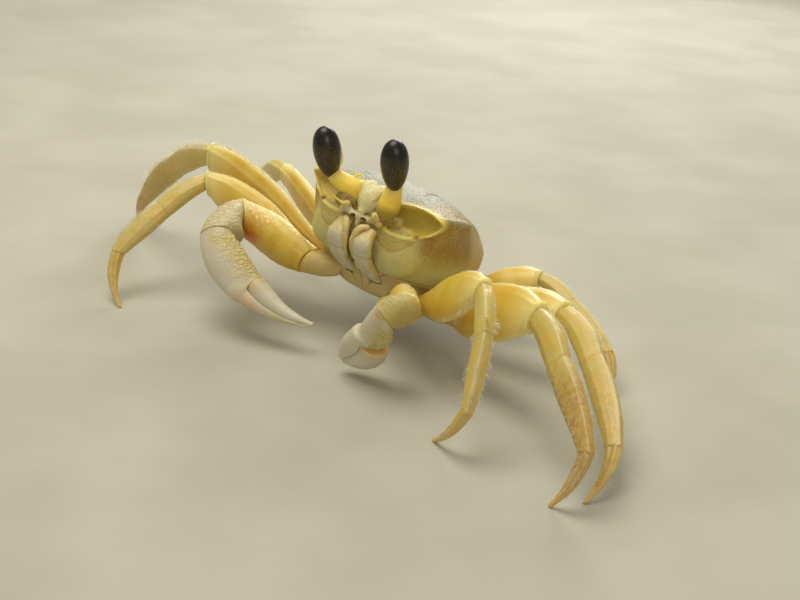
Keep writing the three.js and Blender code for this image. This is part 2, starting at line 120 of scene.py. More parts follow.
def bowed_line(start, middle, end):
    """A line with one bend, as a function of the share of its length."""
    def line(share):
        t = np.asarray(share, float)[..., None]
        return (1 - t) ** 2 * start + 2 * (1 - t) * t * middle + t * t * end
    return line


def routed_line(points):
    """A curve through all the points, as a function of the share of its length."""
    points = np.asarray(points, float)
    first = 2 * points[..., 0, :] - points[..., 1, :]
    last = 2 * points[..., -1, :] - points[..., -2, :]
    padded = np.concatenate([first[..., None, :], points, last[..., None, :]], axis=-2)
    spans = np.linalg.norm(np.diff(padded, axis=-2), axis=-1, keepdims=True) ** 0.5

    def line(share):
        place = np.clip(np.asarray(share, float), 0, 1) * (points.shape[-2] - 1)
        index = np.minimum(np.floor(place).astype(int), points.shape[-2] - 2)
        t = (place - index)[..., None]
        p0, p1, p2, p3 = (np.take(padded, index + i, axis=-2) for i in range(4))
        d0, d1, d2 = (np.take(spans, index + i, axis=-2) for i in range(3))
        m1 = ((p1 - p0) / d0 - (p2 - p0) / (d0 + d1) + (p2 - p1) / d1) * d1
        m2 = ((p2 - p1) / d1 - (p3 - p1) / (d1 + d2) + (p3 - p2) / d2) * d1
        cubic = 2 * p1 - 2 * p2 + m1 + m2
        square = -3 * p1 + 3 * p2 - 2 * m1 - m2
        return ((cubic * t + square) * t + m1) * t + p1
    return line


print("halfway along 0, 1, 0 a smooth value is", float(along([0, 1, 0], 0.5)))

# %% [markdown]
# ### The trunk leans
# The crab stands with its front raised and leans a little to its left. Modelling the trunk tilted
# would make every number awkward, so it is built level and even on both sides, and one turn and one
# shift bring it to its stance. The shift is read from the box of the bar over the mouth, so that
# the trunk lands exactly on the loaded solids.

# %% The trunk's own frame
HIP_HEIGHT = 14.6
FRONT_RAISED = 12  # degrees
LEAN_TO_LEFT = 5  # degrees
TRUNK_TURN = turn_about("Y", LEAN_TO_LEFT) @ turn_about("X", -FRONT_RAISED)
MOUTH_BAR_CENTRE = [0, -16.5, 10.7]


def stand(points):
    """From the trunk's frame to the crab's, before it is centred over the floor."""
    return np.asarray(points, float) @ TRUNK_TURN.T + [0, 0, HIP_HEIGHT]


bar_low, bar_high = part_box("epistome")
bar_centre = (np.array(bar_low) + np.array(bar_high)) / 2 / MM
OFFSET = bar_centre - stand(MOUTH_BAR_CENTRE)
print("the trunk stands", OFFSET.round(3), "mm from the middle of the floor")


def place(points):
    """From the trunk's frame to the row's frame."""
    return stand(points) + OFFSET


# %% [markdown]
# ### Proportions of the legs
# A ghost crab runs on four pairs of long flat legs, the second and third the longest and the last
# short. Each has a wide thigh, a short knee piece, a shank and a toe. Both sides share the lengths,
# and each leg has angles of its own. A rig with bones could pose them, but this model never moves.

# %% Sizes of the walking legs
# Root, lengths of the first three segments, depth and thickness of the first.
LEGS = [
    {"root": [13.0, -7.6, -5.4], "lengths": [34.8, 11.5, 14.5], "depth": 10.4, "thickness": 4.2},
    {"root": [13.6, -2.2, -5.6], "lengths": [40.8, 14.2, 21.4], "depth": 12.6, "thickness": 4.6},
    {"root": [13.2, 3.4, -5.0], "lengths": [32.7, 17.4, 24.0], "depth": 11.2, "thickness": 4.4},
    {"root": [11.2, 8.8, -3.6], "lengths": [20.6, 9.9, 15.5], "depth": 7.6, "thickness": 3.6},
]
# Bearing, lean of the leg's plane, lean of the flat first segment, and slopes, in degrees.
STANCE = {
    "left": [
        (-40.1, 21.3, 21, [29.8, -27.7, -53.7, -126.6]),
        (-30.9, 25.7, 26, [21.1, -16.5, -22.4, -97.4]),
        (-24.4, 53.1, 45, [24.7, -15.3, -27.1, -65.3]),
        (1.7, 46.9, 40, [28.1, -20.2, -30.9, -68.0]),
    ],
    "right": [
        (-28.6, 41.4, 12, [28.5, -43.0, -56.2, -106.4]),
        (2.0, -15.9, -2, [26.5, -23.8, -39.9, -57.1]),
        (26.5, -24.1, -16, [23.5, -18.1, -27.7, -50.0]),
        (27.6, 0, 0, [26.0, -14.0, -30.0, -70.0]),
    ],
}
SIGNS = {"left": 1, "right": -1}
JOINT_GAP = 0.06
ROOT_HIDDEN = 3.0  # the first stretch of a thigh, where the hip takes its place
print("the longest thigh is", max(leg["lengths"][0] for leg in LEGS), "mm")

# %% [markdown]
# ### From angles to joints
# A leg bends in one plane that leans over, and its toe ends on the floor. Starting at the hip, each
# segment adds a step at its own slope, and the last one is made as long as it takes to reach the
# floor. At every joint the two tubes meet in the plane that halves the bend, as the hoops of a real
# joint do; ends cut square would overlap on the inside of the bend and gape on the outside.

# %% Joints of the walking legs
def plane_up(sign, heading, tipped):
    level = math.sin(tipped)
    return np.array([
        -sign * math.sin(heading) * level,
        math.cos(heading) * level,
        math.cos(tipped),
    ])


def leg_chain(side, index):
    """Joints from root to floor, the axis they turn on, and the axis across the first segment."""
    sign, leg = SIGNS[side], LEGS[index]
    bearing, lean, merus_lean, slopes = STANCE[side][index]
    heading = math.radians(bearing)
    outward = np.array([sign * math.cos(heading), math.sin(heading), 0])
    upward = plane_up(sign, heading, math.radians(lean))
    points = [stand(np.array(leg["root"]) * [sign, 1, 1])]
    for i, slope in enumerate(slopes):
        slope = math.radians(slope)
        direction = math.cos(slope) * outward + math.sin(slope) * upward
        length = leg["lengths"][i] if i < 3 else points[-1][2] / -direction[2]
        points.append(points[-1] + direction * length)
    points[0] = points[0] + (points[1] - points[0]) * ROOT_HIDDEN / leg["lengths"][0]
    flat = np.cross(plane_up(sign, heading, math.radians(merus_lean)), outward)
    return np.array(points) + OFFSET, np.cross(upward, outward), flat


def joint_normals(points):
    """The plane at each joint halves the bend there."""
    directions = unit(np.diff(points, axis=0))
    before = np.concatenate([directions[:1], directions])
    after = np.concatenate([directions, directions[-1:]])
    return unit(before + after)


def segment_line(points, normals, i, side, bow):
    start = points[i] + normals[i] * JOINT_GAP / 2
    end = points[i + 1] - normals[i + 1] * JOINT_GAP / 2
    axis = end - start
    up = unit(np.cross(axis, side))
    return bowed_line(start, (start + end) / 2 + up * bow * np.linalg.norm(axis) * 2, end)


print("the first left knee is at", leg_chain("left", 0)[0][1].round(1), "mm")


# %% [markdown]
# ### Two unequal claws
# One claw of a ghost crab is always much larger. Here it is the right one, hanging with its fingers
# down, while the small left one is folded under the mouth. Each arm is a list of segments with a
# length, a bearing and a slope, which is easy to compare with the real arm, one segment at a time.

# %% Sizes of the claws
# Root in the trunk's frame, then length, bearing and slope of each segment, and the way that the
# inner face of the palm looks.
CLAWS = {
    "left": {
        "root": [12.9, -12.6, -3.5],
        "segments": [(16.0, -49, 17), (6.4, -93, 2), (9.9, 146, -58), (10.6, 174, -38)],
        "inner_face": [-0.16, 0.92, 0.32],
        "merus_depth": 7.6, "palm_depth": 6.9, "palm_thickness": 5.2, "palm_bow": 0.05,
        "finger_depth": 5.9, "finger_bow": 0.16, "fixed_bow": 0,
        "finger_taper": [1, 1.02, 0.98, 0.72, 0.3],
    },
    "right": {
        "root": [-12.7, -14.6, -3.9],
        "segments": [(19.2, -6, 18), (9.5, -101, -12.4), (15.3, -174, -27), (15.9, 172, -19)],
        "inner_face": [-0.07, 0.7, -0.7],
        "merus_depth": 9.8, "palm_depth": 9.3, "palm_thickness": 6.6, "palm_bow": -0.06,
        "finger_depth": 4.8, "finger_bow": -0.09, "fixed_bow": -0.07,
        "finger_taper": [1, 0.9, 0.68, 0.46, 0.2],
    },
}


def claw_chain(side):
    sign, claw = SIGNS[side], CLAWS[side]
    points = [stand(claw["root"])]
    for length, bearing, slope in claw["segments"]:
        bearing, slope = math.radians(bearing), math.radians(slope)
        level = math.cos(slope)
        step = [sign * level * math.cos(bearing), level * math.sin(bearing), math.sin(slope)]
        points.append(points[-1] + length * np.array(step))
    return np.array(points) + OFFSET


print("the right claw's tip is at", claw_chain("right")[-1].round(1), "mm")

# %% [markdown]
# ## Tubes of shell
# Each segment of a limb is a closed tube of hardened cuticle, oval in section, with its own ridges
# and a rounded rim at each joint. A loft does this best: rings of points along a centre line, each
# point raised by a function of its place. A cylinder with modifiers could bend, but it couldn't
# vary its ridges along and round the tube.

# %% Loft a tube
RIM_RINGS = 5  # rings that round off each end of a tube


def ring_places(length, rings, rim):
    """Shares of the length, closer together at the two ends, and how full each ring is."""
    bend = np.linspace(0, math.pi / 2, RIM_RINGS + 1)[:-1]
    near = rim / length * (1 - np.cos(bend))
    middle = np.linspace(rim / length, 1 - rim / length, rings)
    shares = np.concatenate([near, middle, 1 - near[::-1]])
    full = np.ones(len(shares))
    full[: len(near)] = np.sin(bend)
    full[-len(near):] = np.sin(bend)[::-1]
    return shares, full


def on_tube(spec, share, angle, full=1.0, grow=0.0):
    """Points on a tube, and the spokes that reach them from its centre line."""
    start, end = spec["start_normal"], spec["end_normal"]
    normal = unit(start * (1 - share[..., None]) + end * share[..., None])
    up = unit(np.cross(normal, spec["side"]))
    across = np.cross(up, normal)
    power = 2 / spec.get("squareness", 2.0)
    cosine = np.sign(np.cos(angle)) * np.abs(np.cos(angle)) ** power
    sine = np.sign(np.sin(angle)) * np.abs(np.sin(angle)) ** power
    depth = (along(spec["depths"], share) / 2 + grow) * full * cosine
    width = (along(spec["widths"], share) / 2 + grow) * full * sine
    centre = spec["line"](share) + normal * (grow * (2 * share - 1))[..., None]
    spoke = across * width[..., None] - up * depth[..., None]
    return centre + spoke, spoke


def ring_faces(count, sides):
    """Quads between rings of points, and a fan over each end to the two points that come last."""
    grid = np.arange(count * sides).reshape(count, sides)
    following = np.roll(grid, -1, axis=1)
    quads = np.stack([grid[:-1], following[:-1], following[1:], grid[1:]], axis=-1).reshape(-1, 4)
    head, foot = count * sides, count * sides + 1
    caps = np.concatenate([
        np.stack([np.full(sides, head), following[0], grid[0]], axis=-1),
        np.stack([np.full(sides, foot), grid[-1], following[-1]], axis=-1),
    ])
    return [quads, caps]


def tube(spec, relief=None, rings=90, sides=64, grow=0.0):
    """Points, faces and the place of each point on the tube (share along, angle round)."""
    rings, sides = int(rings / COARSE), int(sides / COARSE)
    ends = spec["line"](np.array([0.0, 1.0]))
    length = np.linalg.norm(ends[1] - ends[0])
    shares, full = ring_places(length, rings, spec.get("rim", 0.5))
    start_kept, end_kept = spec.get("kept", (0.8, 0.8))
    kept = start_kept + (end_kept - start_kept) * shares
    full = kept + (1 - kept) * full
    t, a = np.meshgrid(shares, np.arange(sides) / sides * 2 * math.pi, indexing="ij")
    points, spoke = on_tube(spec, t, a, full[:, None], grow)
    if relief:
        points = points + unit(spoke) * relief(t, a, points)[..., None]
    centres = points[[0, -1]].mean(axis=1)
    return {
        "points": np.concatenate([points.reshape(-1, 3), centres]),
        "faces": ring_faces(len(shares), sides),
        "share": np.concatenate([t.ravel(), [0, 1]]),
        "angle": np.concatenate([a.ravel(), [0, 0]]),
    }


print("a 10 mm tube with 9 rings gets", len(ring_places(10, 9, 0.5)[0]), "rings with its rims")

# %% [markdown]
# ### Uneven and granular surfaces
# Cuticle is never smooth: it has faint dents a few millimetres wide, and granules like fine sand.
# Both are worked out from the place of a point, so neighbouring points agree and the pattern runs
# on over any form. A displace modifier with a texture could do this, but here the same numbers also
# drive the colour masks, so that pale dots sit exactly on the granules. Granules are drawn about
# half a millimetre apart, a little coarser than the real ones, so that they show.

# %% Lumps and grains for the relief
GRAIN_RADIUS_SQUARED = 0.22  # in spacings
GRAIN_BLUNTNESS = 0.7


def chance(whole, seed):
    """A fixed pseudo-random value from 0 to 1 at each whole-numbered place."""
    i, j, k = np.moveaxis(whole, -1, 0)
    mixed = (i * 374761393 + j * 668265263 + k * 1274126177 + seed * 974634777) & 0xFFFFFFFF
    mixed = ((mixed ^ (mixed >> 13)) * 1103515245) & 0xFFFFFFFF
    return ((mixed ^ (mixed >> 16)) & 0xFFFF) / 65535.0


def corners_of(part):
    """The corners of the unit cell, and how much each counts at a place inside it."""
    for corner in itertools.product((0, 1), repeat=3):
        yield np.array(corner), np.prod(np.where(corner, part, 1 - part), axis=-1)


def lumps(points, size, seed=0):
    """Smooth unevenness from 0 to 1 whose lumps are about size millimetres across."""
    scaled = points / size
    whole = np.floor(scaled).astype(np.int64)
    part = scaled - whole
    part = part * part * (3 - 2 * part)
    return sum(weight * chance(whole + corner, seed) for corner, weight in corners_of(part))


def dents(points, size, seed, depth):
    """The same unevenness as a height, half of the depth up and half of it down."""
    return (lumps(points, size, seed) - 0.5) * depth


def grains(points, spacing, seed=0):
    """Round granules, 1 on top of each and 0 between them."""
    scaled = points / spacing
    whole = np.floor(scaled).astype(np.int64)
    best = np.full(points.shape[:-1], 9.0)
    for step in itertools.product((-1, 0, 1), repeat=3):
        cell = whole + np.array(step)
        jitter = np.stack([chance(cell, seed + i) for i in range(3)], axis=-1)
        best = np.minimum(best, ((cell + jitter - scaled) ** 2).sum(-1))
    return np.clip(1 - best / GRAIN_RADIUS_SQUARED, 0, 1) ** GRAIN_BLUNTNESS


print("the grain at the origin is", grains(np.zeros((1, 3)), 0.5).round(2))

# %% [markdown]
# ### From arrays to a Blender object
# A piece is points, faces and masks. Blender fills a mesh fastest in bulk, one array for each kind
# of data. Masks become point attributes that a material can read by name. Each object then gets its
# finish, rides on the crab's one body and hides the solids that it takes the place of.

# %% Make a Blender object from a piece
def signed_volume(points, faces):
    total = 0.0
    for group in faces:
        first = points[group[:, 0]]
        for i in range(1, group.shape[1] - 1):
            cross = np.cross(points[group[:, i]], points[group[:, i + 1]])
            total += float((first * cross).sum()) / 6
    return total


def facing_out(points, faces):
    return faces if signed_volume(points, faces) > 0 else [group[:, ::-1] for group in faces]


def joined(parts):
    """Several pieces of mesh as one, with the masks that they share."""
    points, faces, start = [], [], 0
    for part in parts:
        points.append(part["points"])
        faces.extend(group + start for group in part["faces"])
        start += len(part["points"])
    masks = {name: np.concatenate([part["masks"][name] for part in parts])
             for name in parts[0].get("masks", {})}
    return {"points": np.concatenate(points), "faces": faces, "masks": masks}


def in_scene(name, data):
    thing = bpy.data.objects.new(name, data)
    bpy.context.scene.collection.objects.link(thing)
    return thing


def make_piece(name, form, material, nodes=()):
    """Adds the mesh in metres, rides it on the crab's one body and hides what it replaces."""
    points = form["points"]
    faces = facing_out(points, form["faces"])
    corners = np.concatenate([group.ravel() for group in faces])
    sizes = np.concatenate([np.full(len(group), group.shape[1]) for group in faces])
    mesh = bpy.data.meshes.new(name)
    mesh.vertices.add(len(points))
    mesh.vertices.foreach_set("co", (points * MM).astype(np.float32).ravel())
    mesh.loops.add(len(corners))
    mesh.loops.foreach_set("vertex_index", corners.astype(np.int32))
    mesh.polygons.add(len(sizes))
    starts = np.concatenate([[0], np.cumsum(sizes)[:-1]])
    mesh.polygons.foreach_set("loop_start", starts.astype(np.int32))
    mesh.update(calc_edges=True)
    mesh.shade_smooth()
    for mask, values in form.get("masks", {}).items():
        attribute = mesh.attributes.new(mask, "FLOAT", "POINT")
        attribute.data.foreach_set("value", np.asarray(values, np.float32))
    piece = in_scene(name, mesh)
    mesh.materials.append(material)
    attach(piece, "root")
    if nodes:
        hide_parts(*nodes)
    return piece


print("pieces are made in", "quick" if COARSE > 1 else "full", "detail")

# %% [markdown]
# ## Finishes
# A crab's shell is chitin hardened with lime: a thin, slightly translucent horn over pale flesh.
# Where the sun gets through the thin walls of a leg it glows amber, and where lime is thick, on
# the back and the claws, it is chalky and dull. Each finish mixes its colours by masks that the
# pieces carry, and by noise at the size of real granules and flecks.

# %% Colour and node helpers
def linear(hex_colour, alpha=1.0):
    """An sRGB hex colour as the linear values that shaders use."""
    channels = [int(hex_colour[i:i + 2], 16) / 255 for i in (1, 3, 5)]
    bent = [c / 12.92 if c <= 0.04045 else ((c + 0.055) / 1.055) ** 2.4 for c in channels]
    return (*bent, alpha)


def add(tree, kind, settings=(), values=(), links=()):
    """Adds one node with its settings, its socket values and the sockets that feed it."""
    node = tree.nodes.new(kind)
    for name, value in dict(settings).items():
        setattr(node, name, value)
    for socket, value in dict(values).items():
        node.inputs[socket].default_value = value
    for socket, source in dict(links).items():
        tree.links.new(source, node.inputs[socket])
    return node


print("mid grey is", round(linear("#808080")[0], 3), "in linear light")

# %% [markdown]
# ### Layers of colour
# Every finish is a base colour under thin layers, as in a real shell, where pigment lies in patches
# below clear horn. Each layer is a colour, its mask, its strength and its flecks: their size in
# millimetres and the two levels of noise between which they fade in. One builder for all finishes
# keeps them short and easy to compare.

# %% Build a finish from layers
MULTIPLY = {"operation": "MULTIPLY", "use_clamp": True}
MIX_AMOUNT, MIX_UNDER, MIX_OVER, MIX_RESULT = 0, 6, 7, 2
GRIT_SIZE = 0.3  # the real grit is finer; this is as coarse as it needs to be to show


def translucent(weight, depth_mm, colour_reach):
    """Socket values for a wall that lets light in: how much, how deep, and how far each colour."""
    return {"Subsurface Weight": weight, "Subsurface Scale": depth_mm * MM,
            "Subsurface Radius": colour_reach}


def layered_finish(name, base, layers, roughness, bump_mm, **sockets):
    """A base colour under layers, over a surface with fine grit."""
    material = bpy.data.materials.new(name)
    material.use_nodes = True
    tree = material.node_tree
    tree.nodes.clear()
    where = add(tree, "ShaderNodeTexCoord").outputs["Object"]
    ground = add(tree, "ShaderNodeRGB")
    ground.outputs[0].default_value = linear(base)
    colour = ground.outputs[0]
    for tint, mask, strength, flecks in layers:
        steady = add(tree, "ShaderNodeValue")
        steady.outputs[0].default_value = strength
        amount = steady.outputs[0]
        if mask:
            carried = add(tree, "ShaderNodeAttribute", {"attribute_name": mask})
            amount = add(tree, "ShaderNodeMath", MULTIPLY,
                         links={0: amount, 1: carried.outputs["Fac"]}).outputs[0]
        if flecks:
            size, low, high = flecks
            noise = add(tree, "ShaderNodeTexNoise", values={"Scale": 1 / (size * MM), "Detail": 3},
                        links={"Vector": where})
            spread = add(tree, "ShaderNodeMapRange", values={"From Min": low, "From Max": high},
                         links={"Value": noise.outputs["Fac"]})
            amount = add(tree, "ShaderNodeMath", MULTIPLY,
                         links={0: amount, 1: spread.outputs["Result"]}).outputs[0]
        colour = add(tree, "ShaderNodeMix", {"data_type": "RGBA"}, {MIX_OVER: linear(tint)},
                     {MIX_AMOUNT: amount, MIX_UNDER: colour}).outputs[MIX_RESULT]
    grit = add(tree, "ShaderNodeTexNoise", values={"Scale": 1 / (GRIT_SIZE * MM), "Detail": 4},
               links={"Vector": where})
    raised = add(tree, "ShaderNodeBump", values={"Distance": bump_mm * MM},
                 links={"Height": grit.outputs["Fac"]})
    shader = add(tree, "ShaderNodeBsdfPrincipled", {"subsurface_method": "RANDOM_WALK"},
                 {"Roughness": roughness, "IOR": 1.54, **sockets},
                 {"Base Color": colour, "Normal": raised.outputs["Normal"]})
    add(tree, "ShaderNodeOutputMaterial", links={"Surface": shader.outputs["BSDF"]})
    print(name, "has", len(tree.nodes), "nodes")
    return material


print("the finest grit is", GRIT_SIZE, "mm across")

# %% [markdown]
# ### Limed shell of the back and cheeks
# Chitin hardened with lime: chalky grey-green and granular on the back, thinner, olive-yellow and
# smoother on the cheeks, with a brown flush below the corner of the eye socket. The rim of the
# socket is thin and pale yellow with a painted highlight, and the wall of the right one is painted
# brighter as a glow where light shines through it. A nook, a crease and the slot of the mouth carry
# painted shade. Masks carry these areas, because they follow the form, and fine noise breaks their
# edges.

# %% Finish: limed shell of the back and cheeks
SHELL = layered_finish("shell_chitin", "#BCAE5A", [
    ("#C8BE78", None, 1.0, (3.0, 0.35, 0.65)),
    ("#C6C48C", "pale", 0.7, None),
    ("#AC8A34", "band", 0.5, (1.2, 0.1, 0.6)),
    ("#9A7428", "patch", 0.9, (6.0, 0.0, 0.45)),
    ("#C2A668", "flank", 1.0, None),
    ("#84835F", "back", 1.0, None),
    ("#A89256", "tan", 0.9, (4.0, 0.1, 0.6)),
    ("#A9A78C", "granule", 0.55, None),
    ("#C98F3C", "tan", 0.5, (0.7, 0.6, 0.68)),
    ("#DDD29A", "brow", 1.0, (1.0, 0.1, 0.4)),
    ("#C2AA3E", "orbit", 1.0, None),
    # Painted shade: the nook by the stalk's mound is painted darker olive; the orange-brown flecks over
    # it are the shell's own tone.
    ("#9C8732", "nook", 0.8, None),
    ("#8F5E1C", "nook", 0.9, (0.9, 0.42, 0.6)),
    ("#D6BE5A", "shelf", 1.0, None),
    # Painted glow: the wall of the right socket is painted brighter yellow, standing in for light that
    # comes through it.
    ("#D9BC4A", "lit", 0.9, None),
    # The lip's own pale yellow, with a painted highlight on it that is wider on the upper lip.
    ("#EAD76A", "rim", 0.9, None),
    ("#E6DA9A", "bead", 0.8, None),
    # Painted shade: the crease under the granular band is painted darker brown.
    ("#A28138", "crease", 0.8, None),
    # Painted shade: the slot between the mouth plates is painted dark red-brown, standing in for the
    # shade inside the mouth.
    ("#5E3218", "gape", 1.0, None),
    ("#DDD59E", None, 0.45, (0.4, 0.6, 0.66)),
    ("#6B5A2C", None, 0.5, (0.5, 0.69, 0.73)),
], 0.42, 0.09, **translucent(0.35, 1.2, (1.0, 0.7, 0.25)))

# %% [markdown]
# ### Thin cuticle of the thighs
# The wide first segments are thin chitin over pale muscle. Light enters one side and leaves by
# the other, so they look like amber horn, paler at the knee. Deep scattering with a long red and
# a short blue path gives that glow; a flat yellow paint would look solid.

# %% Finish: thin cuticle of the thighs
THIGH = layered_finish("amber_cuticle", "#D6B440", [
    ("#DDC458", None, 1.0, (4.0, 0.35, 0.7)),
    ("#E6D68E", "knee", 0.9, None),
    ("#C8A23C", "root", 0.5, None),
    ("#EFE3AA", "crest", 0.75, None),
    ("#DB7A18", "flush", 1.0, (1.2, 0.3, 0.52)),
    ("#EFE9CC", "bead", 0.9, None),
], 0.34, 0.04, **translucent(0.85, 3.2, (1.0, 0.84, 0.28)))

# %% [markdown]
# ### Harder cuticle of the shanks
# Below the knee the wall is thicker and straw-coloured, with pale ridges, orange rings at the
# joints and brown stains of dried silt towards the toes. The stains are noise with lumps a few
# millimetres long, held back by a mask on each segment.

# %% Finish: harder cuticle of the shanks
SHANK = layered_finish("straw_cuticle", "#CBBB68", [
    ("#D6B658", None, 1.0, (3.5, 0.4, 0.7)),
    ("#DDD6A8", "crest", 0.7, None),
    ("#DBA858", "collar", 0.5, None),
    ("#A8742A", "stain", 0.95, (1.1, 0.1, 0.65)),
    ("#7A6630", None, 0.4, (0.5, 0.7, 0.75)),
], 0.36, 0.05, **translucent(0.6, 1.8, (1.0, 0.7, 0.25)))

# %% [markdown]
# ### Thick limed cuticle of the claws
# The hands are the hardest part: cream to lilac-white where they are smooth, yellow-green where
# small scales cover them, and amber where the finger hinges. Less light gets in, so the
# scattering is shallower than on the legs.

# %% Finish: thick limed cuticle of the claws
CLAW = layered_finish("limed_claw", "#CBC0A0", [
    ("#C9B97C", None, 0.8, (3.0, 0.45, 0.7)),
    ("#B5A352", "scaly", 0.9, None),
    ("#E3DBB4", "grain", 0.6, None),
    ("#CFC8B8", "pearl", 0.8, None),
    ("#D99A30", "amber", 1.0, None),
], 0.4, 0.06, **translucent(0.45, 1.5, (1.0, 0.72, 0.3)))

# %% [markdown]
# ### Soft skin in the joints
# Between two hard segments lies a folded skin without lime. It is orange and slightly moist, and
# only a thin line of it shows where a joint is bent.

# %% Finish: soft skin in the joints
JOINT_SKIN = layered_finish("joint_skin", "#DDA148", [
    ("#E4BC6A", None, 1.0, (0.8, 0.35, 0.65)),
], 0.45, 0.08, **translucent(0.6, 1, (1.0, 0.5, 0.2)))

# %% [markdown]
# ### Cream plates of the mouth and breast
# The plates that close the mouth are smooth and porcelain-like, cream with yellow edges and brown
# lines where two plates meet. The lines are a mask made with the relief, so colour and groove
# always fall together.

# %% Finish: cream plates of the mouth and breast
PLATE = layered_finish("cream_plate", "#D2CAA4", [
    ("#BFB57C", None, 1.0, (2.5, 0.4, 0.65)),
    ("#CFC9B4", "pearl", 0.6, None),
    ("#CFB25A", "amber", 1.0, None),
    # Dark brown: the own colour of the seams between plates, and painted shade in the two pits of the
    # bar over the mouth.
    ("#6A4E22", "groove", 1.0, None),
    ("#8A7C52", None, 0.5, (0.5, 0.66, 0.72)),
], 0.42, 0.05, **translucent(0.45, 1.2, (1.0, 0.75, 0.4)))

# %% [markdown]
# ### Clear yellow skin of the eyestalks
# The stalks are the clearest part of the crab: almost all light gets through, so they glow
# yellow-orange like resin, paler up the rib behind the eye and olive in the shade of the socket.

# %% Finish: clear yellow skin of the eyestalks
STALK = layered_finish("stalk_cuticle", "#F5D658", [
    ("#F0DA80", "top", 0.8, None),
    ("#BDB288", "rib", 1.0, None),
    ("#A8953A", "foot", 1.0, None),
    ("#C9741C", "foot", 0.6, (0.9, 0.6, 0.68)),
], 0.44, 0.03, **translucent(0.8, 1.6, (1.0, 0.85, 0.3)), **{"Specular IOR Level": 0.3})

# %% [markdown]
# ### The cornea
# A smooth clear coat over dark brown facets far too small to see one by one. They show as faint
# brown mottling on the lower half. A low roughness under a clear coat gives the wet highlight.

# %% Finish: the cornea
CORNEA = layered_finish("dark_cornea", "#0E0A06", [
    ("#2E2410", "fleck", 0.9, (0.6, 0.35, 0.65)),
    ("#75602C", "fleck", 0.6, (0.2, 0.5, 0.6)),
    ("#5E4C30", "foot", 1.0, None),
    ("#6E6448", "edge", 0.5, None),
], 0.34, 0.05, **{"Coat Weight": 0.25, "Coat Roughness": 0.14, "Specular IOR Level": 0.35})

# %% [markdown]
# ### Bristles
# Stiff, straw-white and slightly clear, like the bristles of a brush.

# %% Finish: bristles
BRISTLE = layered_finish("pale_bristle", "#F4EED2", [
    ("#EADB9E", None, 1.0, (1.5, 0.4, 0.65)),
], 0.4, 0.01, **translucent(0.5, 0.8, (1.0, 0.85, 0.6)))

# %% [markdown]
# ## The walking legs
# A leg's four segments are flattened tubes. The thigh is the widest, with a sharp upper edge, and
# the toe narrows to a point. Lists of depths and widths, as shares of the thigh's own, say how each
# tube swells and narrows. Sculpting could give the same forms, but eight legs made from one list
# stay alike, as they are on the animal.

# %% Sections and lengths of the leg segments
# Depths and widths are shares of the thigh's, bow is how far the middle stands off a straight line,
# and kept says how much of its section a tube keeps at its two ends.
SEGMENTS = {
    "merus": {"depths": [0.46, 0.56, 0.9, 1, 0.9, 0.52], "widths": [0.8, 0.9, 1, 1, 0.95, 0.8],
              "bow": 0.01, "kept": (0.8, 0.7)},
    "carpus": {"depths": [0.38, 0.46, 0.5, 0.46], "widths": [0.66, 0.8, 0.8, 0.7], "bow": 0.06,
               "kept": (0.7, 0.985)},
    "propodus": {"depths": [0.455, 0.49, 0.44, 0.31], "widths": [0.69, 0.74, 0.68, 0.5],
                 "bow": 0.03, "kept": (0.985, 0.92)},
    "dactyl": {"depths": [0.29, 0.25, 0.16, 0.07], "widths": [0.48, 0.4, 0.27, 0.13], "bow": 0.1,
               "kept": (0.9, 0.5)},
}
RINGS = {"merus": 170, "carpus": 90, "propodus": 110, "dactyl": 90}


def leg_specs(side, index):
    leg = LEGS[index]
    points, axis, flat = leg_chain(side, index)
    normals = joint_normals(points)
    specs = {}
    for i, (part, shape) in enumerate(SEGMENTS.items()):
        specs[part] = {
            "line": segment_line(points, normals, i, axis, shape["bow"]),
            "start_normal": normals[i],
            "end_normal": normals[i + 1],
            "side": flat if i == 0 else axis,
            "depths": np.array(shape["depths"]) * leg["depth"],
            "widths": np.array(shape["widths"]) * leg["thickness"],
            "kept": shape["kept"],
        }
    return specs


print("the first left thigh is", leg_specs("left", 0)["merus"]["depths"].max(), "mm deep")

# %% [markdown]
# ### Edges, ridges and stains of the legs
# The thigh has a granular upper edge, two ridges towards the knee and a raised collar round its
# end. Shanks carry two pale ridges with a furrow between them, and toes are fluted. Each relief is
# a sum of smooth bumps along and round the tube. The same bumps are kept as masks, so the pale
# colour lies on the ridge itself. One leg on each side is stained where damp sand has clung.

# %% Relief of the leg segments
def crest(angle, at, half_width):
    """1 along a line that runs the length of a tube, at some half turns round it; 0 elsewhere."""
    return hill((angle - at * math.pi + math.pi) % (2 * math.pi) - math.pi, 0, half_width)


def crests(angle, at, half_width):
    """Two such lines, one on each side of the tube."""
    return crest(angle, at, half_width) + crest(angle, 2 - at, half_width)


def merus_relief(share, angle, points):
    edge = crest(angle, 1, 0.22) + 0.7 * crest(angle, 0, 0.2)
    rough = grains(points, 0.6, 3) * edge * 0.14
    folds = dents(points, 2.5, 5, 0.16)
    ridge = crests(angle, 0.72, 0.12)
    knee = smoothstep(0.6, 0.97, share)
    collar = hill(share, 0.985, 0.008) - hill(share, 0.965, 0.008) - 0.6 * hill(share, 0.945, 0.006)
    return rough + folds + ridge * (0.25 + 0.75 * knee) * 0.28 + collar * 0.22


def shank_relief(share, angle, points):
    ridges = crests(angle, 0.8, 0.14)
    valley = crest(angle, 1, 0.2)
    low_ridges = crests(angle, 0.4, 0.15)
    rough = grains(points, 0.5, 7) * (0.2 + 0.8 * np.clip(ridges, 0, 1)) * 0.1
    return ridges * 0.22 - valley * 0.12 + low_ridges * 0.12 + rough + dents(points, 1.5, 9, 0.12)


def toe_relief(share, angle, points):
    flutes = np.cos(angle * 6)
    return flutes * 0.13 * (1 - 0.8 * share) + dents(points, 1.2, 10, 0.06)


